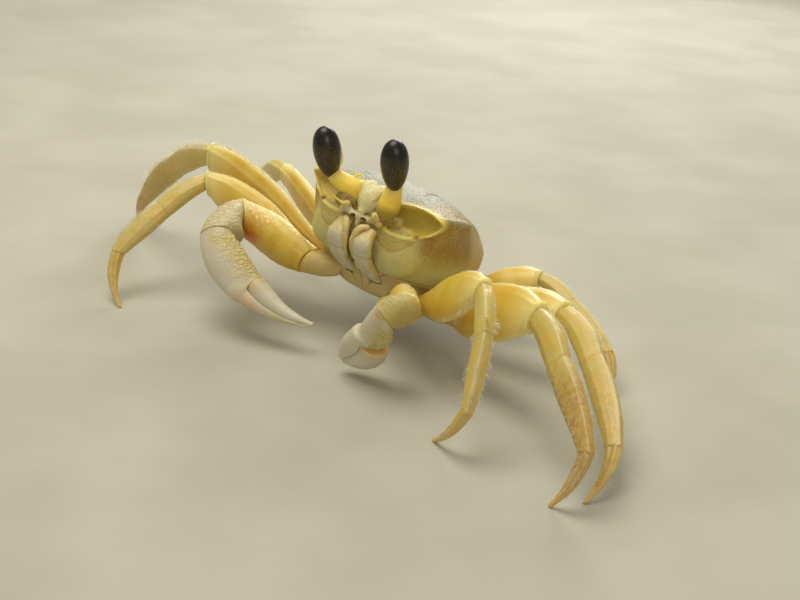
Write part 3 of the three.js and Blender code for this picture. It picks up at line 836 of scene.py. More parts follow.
RELIEFS = {"merus": merus_relief, "carpus": shank_relief, "propodus": shank_relief,
           "dactyl": toe_relief}
STAINS = {"carpus": 0.1, "propodus": 0.2, "dactyl": 0.45}
# Where dried silt clings: the share of the length where it starts, where it is full, and how full.
SILTED = {"carpus": (0.0, 1.0, 0.0), "propodus": (0.0, 0.4, 1.0), "dactyl": (0.8, 0.0, 0.5)}
SILT = {("left", 1): 0.55, ("right", 1): 0.35}


def leg_part(part, spec, silt):
    form = tube(spec, RELIEFS[part], rings=RINGS[part], sides=84 if part == "merus" else 76)
    share, angle = form["share"], form["angle"]
    if part == "merus":
        form["masks"] = {
            "knee": smoothstep(0.72, 1.0, share),
            "root": smoothstep(0.4, 0.0, share),
            "crest": crest(angle, 1, 0.28) + 0.8 * crest(angle, 0, 0.25)
            + 0.5 * crest(angle, 0.72, 0.1),
            "flush": np.zeros(len(share)),
            "bead": np.zeros(len(share)),
        }
    else:
        ridges = crests(angle, 0.8, 0.2)
        start = smoothstep(0.06 if part == "carpus" else 0.02, 0.0, share)
        clean, full, most = SILTED[part]
        form["masks"] = {
            "crest": np.clip(ridges, 0, 1) * (1 - 0.6 * smoothstep(0.5, 1.0, share)),
            "collar": start + smoothstep(0.975, 1.0, share) * 0.5,
            "stain": STAINS[part] + silt * most * smoothstep(clean, full, share),
        }
    return form


print("stains run from", min(STAINS.values()), "to", max(STAINS.values()), "before the silt")

# %% [markdown]
# ### Skin in the joints
# Where two hard segments meet, soft skin closes the gap. A short sleeve that starts inside one
# segment and ends inside the next fills the bend. It could be one skin over both segments, but then
# the hard edge of the collar, which makes an armoured leg look armoured, would be lost.

# %% Soft skin in a joint
SLEEVE_BULGE = np.array([0.7, 0.9, 0.86, 0.7])  # shares of the narrower end beside it


def joint_sleeve(specs, first, second):
    """A short sleeve that closes the bend between two segments."""
    before, after = specs[first], specs[second]
    middle = (before["line"](np.array([1.0]))[0] + after["line"](np.array([0.0]))[0]) / 2
    normal = before["end_normal"]
    half = 0.14 * after["depths"][0] + 0.35
    start, end = middle - normal * half, middle + normal * half
    return {
        "line": bowed_line(start, middle, end), "start_normal": normal, "end_normal": normal,
        "side": after["side"],
        "depths": SLEEVE_BULGE * min(before["depths"][-1], after["depths"][0]),
        "widths": SLEEVE_BULGE * min(before["widths"][-1], after["widths"][0]),
    }


def make_sleeves(name, specs, pairs, sides):
    sleeves = [tube(joint_sleeve(specs, *pair), None, 24, sides) for pair in pairs]
    make_piece(name, joined(sleeves), JOINT_SKIN)


print("the first left knee's sleeve is",
      joint_sleeve(leg_specs("left", 0), "merus", "carpus")["depths"].max().round(1), "mm deep")

# %% [markdown]
# ### Eight legs
# Each segment of each leg becomes its own object, as each is its own hoop of armour on the animal,
# and takes the place of one solid. The points of a toe are held at the level of the floor, where
# the real toe digs in and a museum model stands on it.

# %% Make the legs
LEG_SPECS = {}
PARTS = list(SEGMENTS)
for side in SIGNS:
    for index in range(4):
        specs = leg_specs(side, index)
        LEG_SPECS[side, index] = specs
        for part, spec in specs.items():
            node = f"leg{index + 1}_{side}_{part}"
            form = leg_part(part, spec, SILT.get((side, index), 0))
            if part == "dactyl":
                form["points"][:, 2] = np.maximum(form["points"][:, 2], 0.0)
            material, slot = (THIGH, "thigh") if part == "merus" else (SHANK, "shank")
            make_piece(f"{node}_shell", form, material, [node])
        make_sleeves(f"leg{index + 1}_{side}_joints", specs, zip(PARTS, PARTS[1:]), 40)
print("legs made")

# %% [markdown]
# ## The claws
# A claw's arm has the same kind of segments as a leg, but thicker, with a hand at the end. The hand
# is one hard piece, the palm, that runs on into a fixed finger, and a second finger hinges on it.
# The fixed finger is set a little to one side, so that the two fingers close on each other. The
# tubes are laid out first, as on the legs.

# %% Specs of the claw segments
FINGER_FLATNESS = 0.92  # a finger's width as a share of its depth


def palm_ways(side):
    """The ways along the palm, across it to the hinged finger, and out of its inner face."""
    points = claw_chain(side)
    inner = unit(CLAWS[side]["inner_face"])
    palm_axis = unit(points[3] - points[2])
    return palm_axis, unit(np.cross(palm_axis, inner)), inner


def claw_specs(side):
    claw, points = CLAWS[side], claw_chain(side)
    palm_axis, finger_side, inner = palm_ways(side)
    arm_side = unit(np.cross(UP, unit(points[1] - points[0])))
    palm_end = points[3] - finger_side * claw["palm_depth"] * 0.2
    arm = np.array([points[0], points[1], points[2], palm_end])
    normals = joint_normals(arm)

    def segment(i, axis, bow, face, depths, widths, depth, width):
        return {
            "line": segment_line(arm, normals, i, axis, bow), "kept": (0.93, 0.93),
            "start_normal": normals[i], "end_normal": normals[i + 1], "side": face,
            "depths": np.array(depths) * depth, "widths": np.array(widths) * width,
        }

    def finger(start, end, bow, depth):
        span = end - start
        middle = (start + end) / 2 + finger_side * bow * np.linalg.norm(span) * 2
        return {
            "line": bowed_line(start, middle, end),
            "start_normal": palm_axis, "end_normal": unit(span), "side": inner,
            "depths": np.array(claw["finger_taper"]) * depth,
            "widths": np.array(claw["finger_taper"]) * depth * FINGER_FLATNESS,
        }

    depth, palm = claw["merus_depth"], claw["palm_depth"]
    finger_axis = unit(points[4] - points[3])
    fixed_start = palm_end - finger_side * palm * 0.17 - palm_axis * 2
    fixed_end = points[4] - finger_side * claw["finger_depth"] * 0.18 - finger_axis * 0.6
    return {
        "merus": segment(0, arm_side, 0.03, arm_side, [0.6, 0.85, 1, 0.98, 0.9, 0.85],
                         [0.55, 0.75, 0.8, 0.8, 0.8, 0.85], depth, depth),
        "carpus": segment(1, arm_side, 0.02, inner, [0.8, 0.96, 0.93, 0.76],
                          [0.8, 0.85, 0.78, 0.66], depth, depth),
        "palm": segment(2, inner, claw["palm_bow"], inner, [0.8, 0.95, 1, 0.94, 0.8],
                        [0.9, 1, 1, 0.85, 0.6], palm, claw["palm_thickness"]),
        "fixed": finger(fixed_start, fixed_end, claw["fixed_bow"], claw["finger_depth"] * 0.86),
        "finger": finger(points[3] + palm_axis * JOINT_GAP, points[4], claw["finger_bow"],
                         claw["finger_depth"]),
    }


print("the right palm is", claw_specs("right")["palm"]["depths"].max(), "mm deep")

# %% [markdown]
# ### Shapes that melt into each other
# A palm grows into its fixed finger, and an eye socket is a hollow with a rounded lip. A boolean
# would leave a knife-sharp line there. A field holds, at every point of a fine grid, the distance
# to the surface, negative inside, and a smooth minimum of two fields joins them with a soft crease.
# Metaballs blend too, but they can't carve or keep an exact size.

# %% Solid fields
def blended(first, second, reach):
    """Both shapes as one, with a soft crease as wide as reach."""
    share = np.clip(0.5 + 0.5 * (second - first) / reach, 0, 1)
    return second * (1 - share) + first * share - reach * share * (1 - share)


def carved(shape, cutter, reach):
    """The shape less the cutter, with a rounded edge."""
    return -blended(-shape, cutter, reach)


def grid_axes(low, high, pitch):
    return [np.arange(low[i], high[i] + pitch, pitch, dtype=np.float32) for i in range(3)]


def field_of(form, axes, pitch, reach=14):
    """The distance to a tube on a grid, exact near the surface."""
    origin = np.array([axis[0] for axis in axes])
    places = ((form["points"] - origin) / pitch).astype(np.float32)
    quads, triangles = facing_out(form["points"], form["faces"])
    grid = openvdb.FloatGrid.createLevelSetFromPolygons(
        places, triangles=triangles.astype(np.uint32), quads=quads.astype(np.uint32),
        halfWidth=float(reach))
    values = np.zeros([len(axis) for axis in axes], np.float32)
    grid.copyToArray(values)
    return values * pitch


def skin_of(field, axes, pitch):
    """The surface of a field as quads."""
    grid = openvdb.FloatGrid(9.0)
    grid.copyFromArray(np.ascontiguousarray(field, np.float32))
    points, quads = grid.convertToQuads(isovalue=0.0)
    origin = np.array([axis[0] for axis in axes])
    return {"points": points.astype(float) * pitch + origin, "faces": [quads.astype(np.int64)]}


def sampled(field, axes, pitch, places):
    """A field read at places between its grid points."""
    scaled = (places - np.array([axis[0] for axis in axes])) / pitch
    whole = np.clip(np.floor(scaled).astype(int), 0, np.array(field.shape) - 2)
    part = scaled - whole
    return sum(weight * field[tuple((whole + corner).T)] for corner, weight in corners_of(part))


def vertex_normals(form):
    points = form["points"]
    quads = facing_out(points, form["faces"])[0]
    across = points[quads[:, 2]] - points[quads[:, 0]]
    down = points[quads[:, 3]] - points[quads[:, 1]]
    facing = np.cross(across, down)
    total = np.zeros_like(points)
    for corner in range(4):
        for axis in range(3):
            total[:, axis] += np.bincount(quads[:, corner], facing[:, axis], len(points))
    return total / (np.linalg.norm(total, axis=1, keepdims=True) + 1e-12)


print("two surfaces 1 mm away blend at", round(float(blended(np.array(1.0), np.array(1.0), 0.8)), 2))

# %% [markdown]
# ### Beads, ribs and teeth of the claws
# The arm is beaded with white granules near its joints, the small claw's wrist is ribbed like a
# fine comb, and the fingers have blunt teeth and scales at their roots. Each is a sum of bumps that
# depends on the place on the tube, as on the legs. The beads are a helper of their own, because the
# colour needs them too.

# %% Relief of the claws
def merus_beads(share, angle, points):
    """White granules along the lower edge and on the upper front near the knee."""
    low = crest(angle, 0.2, 0.16) * smoothstep(0.4, 0.7, share)
    high = crest(angle, 0.82, 0.55) * smoothstep(0.35, 0.8, share)
    return grains(points, 0.75, 19) * np.maximum(low, high)


def merus_of_claw(share, angle, points):
    rough = grains(points, 0.6, 11) * (0.15 + 0.85 * crest(angle, 1, 0.7)) * 0.12
    beads = merus_beads(share, angle, points)
    return rough + beads * 0.26 + dents(points, 2.0, 12, 0.16)


def carpus_beads(points, line, share):
    """White granules on the side of the wrist that looks up."""
    lifted = unit(points - line(share))[..., 2]
    return grains(points, 0.75, 17) * smoothstep(0.1, 0.7, lifted)


def carpus_relief(share, angle, points, line, rib_height, bead_height):
    ribs = 0.5 + 0.5 * np.cos(share * 2 * math.pi * RIB_COUNT + dents(points, 2.0, 16, 2))
    beads = carpus_beads(points, line, share)
    return ribs * rib_height + beads * bead_height + dents(points, 2.0, 14, 0.3)


# Height of the wrist's ribs and beads, how chalky it is, and the amber at the fingers' root.
CLAW_SKINS = {"left": {"ribs": 0.16, "beads": 0.06, "chalky": 0.0, "amber": 0.0},
              "right": {"ribs": 0.02, "beads": 0.24, "chalky": 0.35, "amber": 0.7}}
RIB_COUNT = 13
TOOTH_COUNT = 9


def finger_relief(share, angle, points):
    flutes = 0.5 + 0.5 * np.cos(angle * 4)
    teeth = crest(angle, 0, 0.3) * np.maximum(np.sin(share * 2 * math.pi * TOOTH_COUNT), 0) * 0.22
    scales = grains(points, 0.5, 20) * crest(angle, 1, 0.9) * smoothstep(0.75, 0.1, share)
    return flutes * 0.1 * (1 - share) + teeth + scales * 0.13 + dents(points, 1.6, 18, 0.14)


print("the right wrist has beads", CLAW_SKINS["right"]["beads"], "mm high")

# %% [markdown]
# ### Arm, wrist and hinged finger
# These three are tubes like the segments of a leg. The arm has the thin horn of a thigh, with an
# orange flush and white beads towards the wrist, and the other two are limed. Masks along and round
# a tube suit both claws at once, where painted ones would have to be made twice.

# %% Arm, wrist and hinged finger of a claw
def claw_arm(spec):
    form = tube(spec, merus_of_claw, rings=120, sides=96)
    share, angle = form["share"], form["angle"]
    form["masks"] = {
        "knee": smoothstep(0.85, 1, share) * 0.5,
        "root": smoothstep(0.4, 0, share),
        "crest": crest(angle, 1, 0.5) * 0.6,
        "bead": merus_beads(share, angle, form["points"]),
        "flush": smoothstep(0.55, 0.82, share) * crest(angle, 0.3, 1.0),
    }
    return form


def claw_wrist(spec, skin):
    line, highest = spec["line"], CLAW_SKINS["right"]["beads"]
    form = tube(spec, lambda *at: carpus_relief(*at, line, skin["ribs"], skin["beads"]), 110, 110)
    share, angle = form["share"], form["angle"]
    form["masks"] = {
        "scaly": np.full(len(share), 0.9 - 0.8 * skin["chalky"]),
        "grain": carpus_beads(form["points"], line, share) * skin["beads"] / highest,
        "pearl": np.full(len(share), skin["chalky"]),
        "amber": smoothstep(0.12, 0.0, share) * crest(angle, 0.3, 1.2),
    }
    return form


def claw_finger(spec):
    form = tube(spec, finger_relief, rings=110, sides=80)
    share = form["share"]
    form["masks"] = {
        "scaly": smoothstep(0.4, 0.0, share) * 0.2,
        "grain": np.zeros_like(share),
        "pearl": 0.4 + 0.6 * smoothstep(0, 0.4, share),
        "amber": smoothstep(0.03, 0.0, share) * 0.6,
    }
    return form


print("a wrist has", RIB_COUNT, "ribs")

# %% [markdown]
# ### The hand
# The palm and its fixed finger are one hard piece on the animal, so their tubes are melted into one
# solid, and room for the hinged finger is carved out of them with a rounded edge. The inner face of
# the palm is scaly and yellow-green and its lower edge is pearly, so the masks are worked out from
# how far a point lies along the hand and across it.

# %% Hand with its fixed finger
PALM_PITCH = 0.13 * COARSE


def hand_solid(specs):
    """The palm melted into its fixed finger, its grid, and the room for the hinged finger."""
    palm, fixed = tube(specs["palm"], None, 60, 64), tube(specs["fixed"], None, 60, 48)
    every = np.concatenate([palm["points"], fixed["points"]])
    axes = grid_axes(every.min(0) - 1, every.max(0) + 1, PALM_PITCH)
    solid = blended(field_of(palm, axes, PALM_PITCH), field_of(fixed, axes, PALM_PITCH), 1.4)
    room = field_of(tube(specs["finger"], None, 60, 48, grow=0.06), axes, PALM_PITCH)
    return carved(solid, room, 0.2), axes, room


def claw_hand(side, specs):
    solid, axes, room = hand_solid(specs)
    form = skin_of(solid, axes, PALM_PITCH)
    points = form["points"]
    start, end = specs["palm"]["line"](np.array([0.0, 1.0]))
    length = np.linalg.norm(end - start)
    run = (points - start) @ (end - start) / length ** 2
    rise = (points - start) @ palm_ways(side)[1] / CLAWS[side]["palm_depth"]
    scaly = smoothstep(-0.3, 0.15, rise) * smoothstep(1.1, 0.8, run) * smoothstep(-0.05, 0.2, run)
    scaly = scaly * (0.55 + 0.45 * lumps(points, 1.5, 25))
    grain = grains(points, 0.55, 21) * (0.22 + 0.9 * scaly)
    relief = grain * 0.22 + dents(points, 2.2, 23, 0.16)
    hinge = smoothstep(0.4, 0.1, sampled(room, axes, PALM_PITCH, points)) * smoothstep(1.25, 1.0, run)
    points += vertex_normals(form) * relief[:, None]
    finger_root = hill(run, 1.2, 0.2) * smoothstep(-0.1, -0.4, rise) * CLAW_SKINS[side]["amber"]
    pearl = (1 - smoothstep(-0.4, 0.0, rise)) * (0.6 + 0.4 * lumps(points, 2.4, 27))
    form["masks"] = {"scaly": scaly, "grain": grain, "pearl": pearl,
                     "amber": np.maximum(finger_root * 0.5, hinge * 0.4)}
    return form


print("a hand is made on a grid of", PALM_PITCH, "mm")

# %% [markdown]
# ### Two claws
# Both claws go through the same steps with their own sizes and skins, so a loop makes them. The
# four hard pieces take the place of one solid each, and two sleeves of soft skin close the bends.

# %% Make the claws
CLAW_SPECS = {side: claw_specs(side) for side in SIGNS}
for side, specs in CLAW_SPECS.items():
    arm = claw_arm(specs["merus"])
    make_piece(f"claw_{side}_merus_shell", arm, THIGH, [f"claw_{side}_merus"])
    limed = {"carpus": claw_wrist(specs["carpus"], CLAW_SKINS[side]),
             "finger": claw_finger(specs["finger"])}
    for part, form in limed.items():
        make_piece(f"claw_{side}_{part}_shell", form, CLAW, [f"claw_{side}_{part}"])
    bends = (("merus", "carpus"), ("carpus", "palm"))
    make_sleeves(f"claw_{side}_joints", specs, bends, 48)
    hand = claw_hand(side, specs)
    make_piece(f"claw_{side}_palm_shell", hand, CLAW, [f"claw_{side}_palm"])
print("claws made")

# %% [markdown]
# ## The shell
# A ghost crab's trunk is a deep box with rounded sides: a squarish back whose front corners end in
# a tooth, steep cheeks, and a narrow breast below. A stack of outlines describes it well. A cube
# with a subdivision surface couldn't change from squarish above to oval below.

# %% Outlines of the trunk
MARGIN = {"half": 18.3, "front": 14.0, "back": 14.4, "squareness": [6.5, 3.2], "narrow": 0.36}
FLANK = {"half": 19.5, "front": 16.3, "back": 15.4, "squareness": [2.7, 2.7], "narrow": 0.14, "z": 7.2}
SKIRT = {"half": 17.9, "front": 14.4, "back": 14.2, "squareness": [2.5, 2.6], "narrow": 0.1, "z": 1.2}
WAIST = {"half": 14.6, "front": 11.4, "back": 12.8, "squareness": [2.4, 2.4], "narrow": 0.05, "z": -2.0}
BREAST = {"half": 11.6, "front": 8.4, "back": 11.2, "squareness": [2.3, 2.3], "narrow": 0, "z": -6.2}
BREAST_BOTTOM = -7.6
SKIRT_CUT = 0.45
TOOTH_BEARING, TOOTH_WIDTH = math.radians(-36), math.radians(5)
TOOTH_SIZE = 0.03  # as a share of the distance to the middle


def outline(level, angle):
    across = np.abs(np.cos(angle)) / level["half"]
    ahead = np.sin(angle) < 0
    lengthwise = np.abs(np.sin(angle)) / np.where(ahead, level["front"], level["back"])
    power = np.where(ahead, *level["squareness"])
    radius = (across ** power + lengthwise ** power) ** (-1 / power)
    x, y = np.cos(angle) * radius, np.sin(angle) * radius
    behind = np.clip((y + 8) / (level["back"] + 8), 0, 1)
    z = np.full_like(x, level.get("z", 0.0))
    return np.stack([x * (1 - level["narrow"] * behind ** 1.5), y, z], axis=-1)


def rim_height(y):
    """The edge of the back is highest in front and falls faster the further back it lies."""
    run = y + 13.3
    return 16.2 - 0.1 * run - 0.0045 * run * run


def rim_outline(angle):
    points = outline(MARGIN, angle)
    points[..., 2] = rim_height(points[..., 1])
    off_tooth = np.abs(np.abs(angle + math.pi / 2) - (math.pi / 2 + TOOTH_BEARING))
    return points * (1 + TOOTH_SIZE * hill(off_tooth, 0, TOOTH_WIDTH))[..., None]


def middle_height(y):
    """The line along the middle of the back is a flat arch."""
    return 18.3 - 0.013 * (y + 6) ** 2


print("the back is", 2 * MARGIN["half"], "mm wide and", middle_height(-6), "mm high")

# %% [markdown]
# ### One solid trunk
# Eye sockets, lobe and openings are all blended into the trunk or carved out of it, so the trunk
# becomes a field of distances first. Its left half is worked out, and the right half mirrors it.
# Dividing by the steepness makes the values true distances near the surface, so that edges come out
# equally round everywhere.

# %% The whole trunk as a field
PITCH = 0.16 * COARSE
BACK_FLATNESS = 2.6  # the power by which the back bends down to its edge
BEARINGS = np.radians(np.linspace(-90, 90, 241))
rim = rim_outline(BEARINGS)
bottom = np.broadcast_to([0, 1.0, BREAST_BOTTOM], rim.shape)
levels = [rim] + [outline(level, BEARINGS) for level in (FLANK, SKIRT, WAIST, BREAST)] + [bottom]
profile = routed_line(np.stack(levels, axis=1))(np.linspace(0, 1, 90))


def half_trunk(axes):
    """The distance field of the plain trunk, for x from 0 up."""
    x, y = np.meshgrid(axes[0], axes[1], indexing="ij")
    bearing, reach = np.arctan2(y, x), np.hypot(x, y)
    rim_bearing = np.arctan2(rim[:, 1], rim[:, 0])
    rim_reach = np.hypot(rim[:, 0], rim[:, 1])
    share = np.maximum(reach / np.interp(bearing, rim_bearing, rim_reach), 1e-3)
    rim_z = rim_height(np.clip(y / share, -16, 16))
    top = rim_z + (middle_height(y) - rim_z) * (1 - share ** BACK_FLATNESS)
    field = np.empty([len(axis) for axis in axes], np.float32)
    for k, z in enumerate(axes[2]):
        level = np.stack([[np.interp(-z, -run[:, 2], run[:, i]) for i in range(2)] for run in profile])
        level_bearing = np.arctan2(level[:, 1], level[:, 0])
        side_reach = np.interp(bearing, level_bearing, np.hypot(level[:, 0], level[:, 1]))
        field[:, :, k] = -blended(-(z - top), -(reach - side_reach), 1.0)
    steep = np.sqrt(sum(g * g for g in np.gradient(field, PITCH)))
    return field / np.clip(steep, 0.6, 4)


def mirrored(field):
    return np.concatenate([field[:0:-1], field], axis=0)


half_axes = grid_axes([0, -22, -9], [21.5, 18, 20.5], PITCH)
HALF = half_trunk(half_axes)
full_axes = [np.concatenate([-half_axes[0][:0:-1], half_axes[0]]), half_axes[1], half_axes[2]]
print("trunk field", HALF.shape)

# %% [markdown]
# ### Eggs and rods to model with
# The face is built like a clay model, from eggs and tapered rods pressed on or cut out. Both have a
# simple distance formula, so they need no mesh. An egg can be turned, and pinched at one end, as
# the hollow for an eye is.

# %% Fields of eggs and rods
def spread(axes):
    """The grid's x, y and z, each shaped so that they fill the grid when they are combined."""
    return [axis.reshape([-1 if i == j else 1 for j in range(3)]) for i, axis in enumerate(axes)]


def egg_field(axes, centre, half, turn=np.eye(3), pinch=0.0):
    """The distance to an egg, close enough near its surface. Pinch narrows its outer end."""
    x, y, z = (value - centre[i] for i, value in enumerate(spread(axes)))
    local = [x * turn[0, i] + y * turn[1, i] + z * turn[2, i] for i in range(3)]
    outward = np.clip(local[0] / half[0], 0, 1)
    sizes = [half[0], half[1], half[2] * (1 - pinch * outward ** 1.6)]
    near = np.sqrt(sum((local[i] / sizes[i]) ** 2 for i in range(3)))
    slope = np.sqrt(sum((local[i] / sizes[i] ** 2) ** 2 for i in range(3)))
    return (near * (near - 1) / np.maximum(slope, 1e-6)).astype(np.float32)


def tapered_field(axes, start, end, start_radius, end_radius):
    """The distance to a rod between two points whose radius changes along it."""
    start, end = np.array(start, float), np.array(end, float)
    axis = end - start
    offset = [value - start[i] for i, value in enumerate(spread(axes))]
    share = np.clip(sum(offset[i] * axis[i] for i in range(3)) / (axis @ axis), 0, 1)
    away = np.sqrt(sum((offset[i] - share * axis[i]) ** 2 for i in range(3)))
    return (away - (start_radius + (end_radius - start_radius) * share)).astype(np.float32)


def rod(*sizes):
    return tapered_field(half_axes, *sizes)


def egg(*sizes):
    return egg_field(half_axes, *sizes)


print("eggs and rods are worked out at", HALF.size, "places")

# %% [markdown]
# ### Where the eyes fold away
# Below each eye is a long hollow, pointed at its outer end, that the eye folds into. A thin bright
# lip runs round it, a lobe hangs down between the two, and a mound carries the foot of the stalk.
# The hollow is an egg pinched at its outer end. Its lip is the set of points that are near both the
# hollow and the plain surface, which follows the edge exactly, as a bevel couldn't on so free a
# form.

# %% Eye sockets and the lobe between them
SOCKET = {"centre": [11.0, -16.8, 13.7], "half": [8.6, 5.7, 4.0], "swept": 14, "raised": 7,
          "pinch": 0.42}
LIP_RADIUS = 0.17
socket_turn = turn_about("Z", SOCKET["swept"]) @ turn_about("Y", -SOCKET["raised"])
hollow = egg(SOCKET["centre"], SOCKET["half"], socket_turn, SOCKET["pinch"])
side_ridge = rod([17.3, -12.4, 15.3], [17.4, -3.0, 14.3], 0.5, 0.9)
solid = blended(HALF, side_ridge, 1.2)
solid = carved(solid, egg([23.2, -13.2, 8.6], [5.3, 6.5, 7.2]), 1.2)  # a dent beside the cheek
solid = blended(solid, egg([9.0, -12.8, 5.2], [5.5, 3.0, 4.2]), 1.5)  # a fuller cheek
lobe = egg([0, -14.4, 14.5], [2.9, 2.9, 2.9], turn_about("X", -14))
lobe = blended(lobe, rod([0, -15.6, 13.6], [0, -16.6, 12.3], 1.7, 0.9), 0.6)
lobe = blended(lobe, egg([1.8, -13.2, 16.5], [2.3, 2.6, 1.7]), 0.8)
lobe_groove = rod([1.6, -17.6, 12.4], [3.3, -14.6, 17.2], 0.28, 0.32)
solid = carved(blended(solid, lobe, 0.6), lobe_groove, 0.4)
lip = np.sqrt(solid ** 2 + hollow ** 2) - LIP_RADIUS
shell = blended(carved(solid, hollow, 0.35), lip, 0.3)
shell = blended(shell, egg([8.2, -12.7, 10.2], [4.4, 2.2, 1.6], turn_about("Y", -6)), 0.7)  # shelf
ankle = rod([5.0, -14.9, 13.0], [7.9, -14.2, 12.3], 2.35, 1.3)
shell = blended(shell, ankle, 0.8)
lip_notch = rod([12.9, -18.0, 10.6], [12.9, -13.2, 10.6], 0.55, 0.45)
shell = carved(shell, lip_notch, 0.4)
shell = mirrored(carved(shell, half_axes[2] - SKIRT_CUT, 0.5))
print("the eye sockets are", 2 * SOCKET["half"][0], "mm long")

# %% [markdown]
# ### Tubes that lie against the trunk
# The mouth plates and the belly flap lie flat against the trunk. Each is a tube along a curve that
# follows the trunk's front or underside. They are described first, because room for them is carved
# out of the trunk next.

# %% Tubes of the mouth plates and the belly flap
def routed_tube(run, depths, widths, side=(1.0, 0, 0), **more):
    """A tube along a curve through some points, cut square at both ends."""
    line = routed_line(run)
    ends = line(np.array([0, 0.01, 0.99, 1]))
    return {"line": line, "start_normal": unit(ends[1] - ends[0]),
            "end_normal": unit(ends[3] - ends[2]), "side": np.array(side),
            "depths": depths, "widths": widths, **more}


def mouth_plate(sign):
    run = [[-16.6, 9.3], [-18.4, 6.2], [-16.4, 2.3], [-12.2, -0.8], [-8.2, -3.0]]
    return routed_tube([[sign * 3.45, y, z] for y, z in run], [1.6, 2.5, 2.5, 2.2, 1.4],
                       [3.2, 4.5, 4.6, 4.3, 3.3], squareness=2.6)


def belly_flap():
    run = [[15.3, 7.6], [14.75, 1.8], [12.5, -4.1], [7.0, -6.3], [0, -6.5]]
    return routed_tube([[0, y, z] for y, z in run], [0.7, 1.4, 1.5, 1.5, 1.2],
                       [10.0, 10.5, 8.5, 6.5, 3.5])


print("a mouth plate is", max(mouth_plate(1)["widths"]), "mm wide")

# %% [markdown]
# ### Room for the moving parts
# On the animal, the mouth plates, the belly flap and every limb move in recesses of the trunk. The
# same tubes that make those parts, grown by a hair, are carved out of it. That leaves the thin dark
# line that the eye reads as a joint, and nothing pokes through anything else. A narrow slot is cut
# between the mouth plates too, and the shell in it is painted dark red-brown as the painted shade
# inside the mouth.

# %% Room for the mouth plates, the belly flap and the limbs
THIGHS = {"legs": [LEG_SPECS[side, i]["merus"] for side in SIGNS for i in range(4)],
          "claws": [CLAW_SPECS[side]["merus"] for side in SIGNS]}
LIMB_ROOM, PLATE_ROOM, FLAP_ROOM = 0.35, 0.1, 0.15


def trunk_field(form, reach=5):
    """The distance to a tube, on the trunk's grid."""
    return field_of(form, full_axes, PITCH, reach)


def limb_field(spec, reach, grow=0.0):
    """The distance to one limb's tube, in the trunk's frame."""
    form = tube(spec, None, 50, 32, grow)
    form["points"] = (form["points"] - OFFSET - [0, 0, HIP_HEIGHT]) @ TRUNK_TURN
    return trunk_field(form, reach)


rooms = {kind: np.minimum.reduce([limb_field(spec, 5, LIMB_ROOM) for spec in specs])
         for kind, specs in THIGHS.items()}
limbs_room = np.minimum(rooms["legs"], rooms["claws"])
slot_run = [[0, -17.2, 9.4], [0, -18.0, 6.2], [0, -16.4, 2.3], [0, -13.0, -0.4]]
slot_tube = routed_tube(slot_run, [3.0, 3.4, 3.0, 1.0], [2.4, 2.4, 2.0, 0.6])
slot = trunk_field(tube(slot_tube, None, 50, 40))
plate_rooms = [trunk_field(tube(mouth_plate(sign), None, 60, 48, PLATE_ROOM)) for sign in (1, -1)]
mouth_room = np.minimum.reduce([*plate_rooms, slot])
flap_room = trunk_field(tube(belly_flap(), None, 60, 48, FLAP_ROOM))
for room, roundness in ((limbs_room, 0.5), (mouth_room, 0.2), (flap_room, 0.3)):
    shell = carved(shell, room, roundness)
print("room is carved for", sum(len(specs) for specs in THIGHS.values()), "limbs")

# %% [markdown]
# ### Points of the shell
# The field now becomes a mesh of small quads. What each point belongs to is read from the forms
# that the trunk was blended from: how near it lies to the hollow, the lobe or the mound, and how
# deep under the plain surface. Areas painted by hand would miss the edges that blending rounded.

# %% Points of the shell and the forms they lie near
form = skin_of(shell, full_axes, PITCH)
points, normals = form["points"], vertex_normals(form)
x, y, z = np.abs(points[:, 0]), points[:, 1], points[:, 2]
left_points = np.stack([x, y, z], axis=-1)
near = {name: sampled(field, half_axes, PITCH, left_points) for name, field in
        (("hollow", hollow), ("surface", solid), ("lobe", lobe), ("ankle", ankle))}
print("the shell has", len(points), "points")

# %% [markdown]
# ### Areas of the eye sockets
# A socket is olive and smooth inside, with a pale shelf at its foot, an amber-flecked nook by the
# mound that is painted darker olive as shade, and a pale yellow lip with a painted highlight, wider
# above. Small beads stand along the lower lip. The wall of the right socket is painted brighter as a
# glow, where light comes through it. Each area is a mask from 0 to 1 with a soft edge.

# %% Masks of the eye sockets and the lobe
upper = smoothstep(12.5, 14.5, z)
lip_gap = np.hypot(near["hollow"], near["surface"])
orbit = smoothstep(0.5, 0.0, near["hollow"]) * smoothstep(-0.3, -0.9, near["surface"])
shelf = orbit * smoothstep(12.6, 11.4, z) * smoothstep(12.5, 10.0, x)
# Painted shade: the nook by the stalk's mound is painted darker olive, with flecks of the shell's own
# orange-brown.
nook = smoothstep(0.7, 0.2, near["ankle"]) * smoothstep(9.5, 7.0, x)
# Painted glow: the right socket's wall is painted brighter, standing in for light that comes through
# it.
lit = orbit * smoothstep(-3, -7, points[:, 0]) * 0.8
# The lip's own pale yellow and a painted highlight on it, wider on the upper lip.
lip_and_highlight = smoothstep(0.5 + 1.1 * upper, 0.2, lip_gap) * smoothstep(4.5, 6.5, x)
beads = grains(points, 0.5, 37) * smoothstep(0.6, 0.25, lip_gap) * (1 - upper) * smoothstep(4, 5, x)
brow = smoothstep(0.9, 0.1, near["lobe"]) * smoothstep(-11.6, -14.0, y)
# Painted shade: the shell in the slot of the mouth is painted dark red-brown.
gape = smoothstep(0.5, 0.1, sampled(slot, full_axes, PITCH, points)) * smoothstep(10.0, 8.5, z)
print("points in the eye sockets:", int((orbit > 0.5).sum()))

# %% [markdown]
# ### Areas of the back and the cheeks
# The back is grey-green and turns tan at its sides. Under each socket runs a granular band with a
# crease below it, then a brown flush, and the flank and the lower cheek are paler. The areas come
# from how a point faces and where it lies, so that they follow the form.

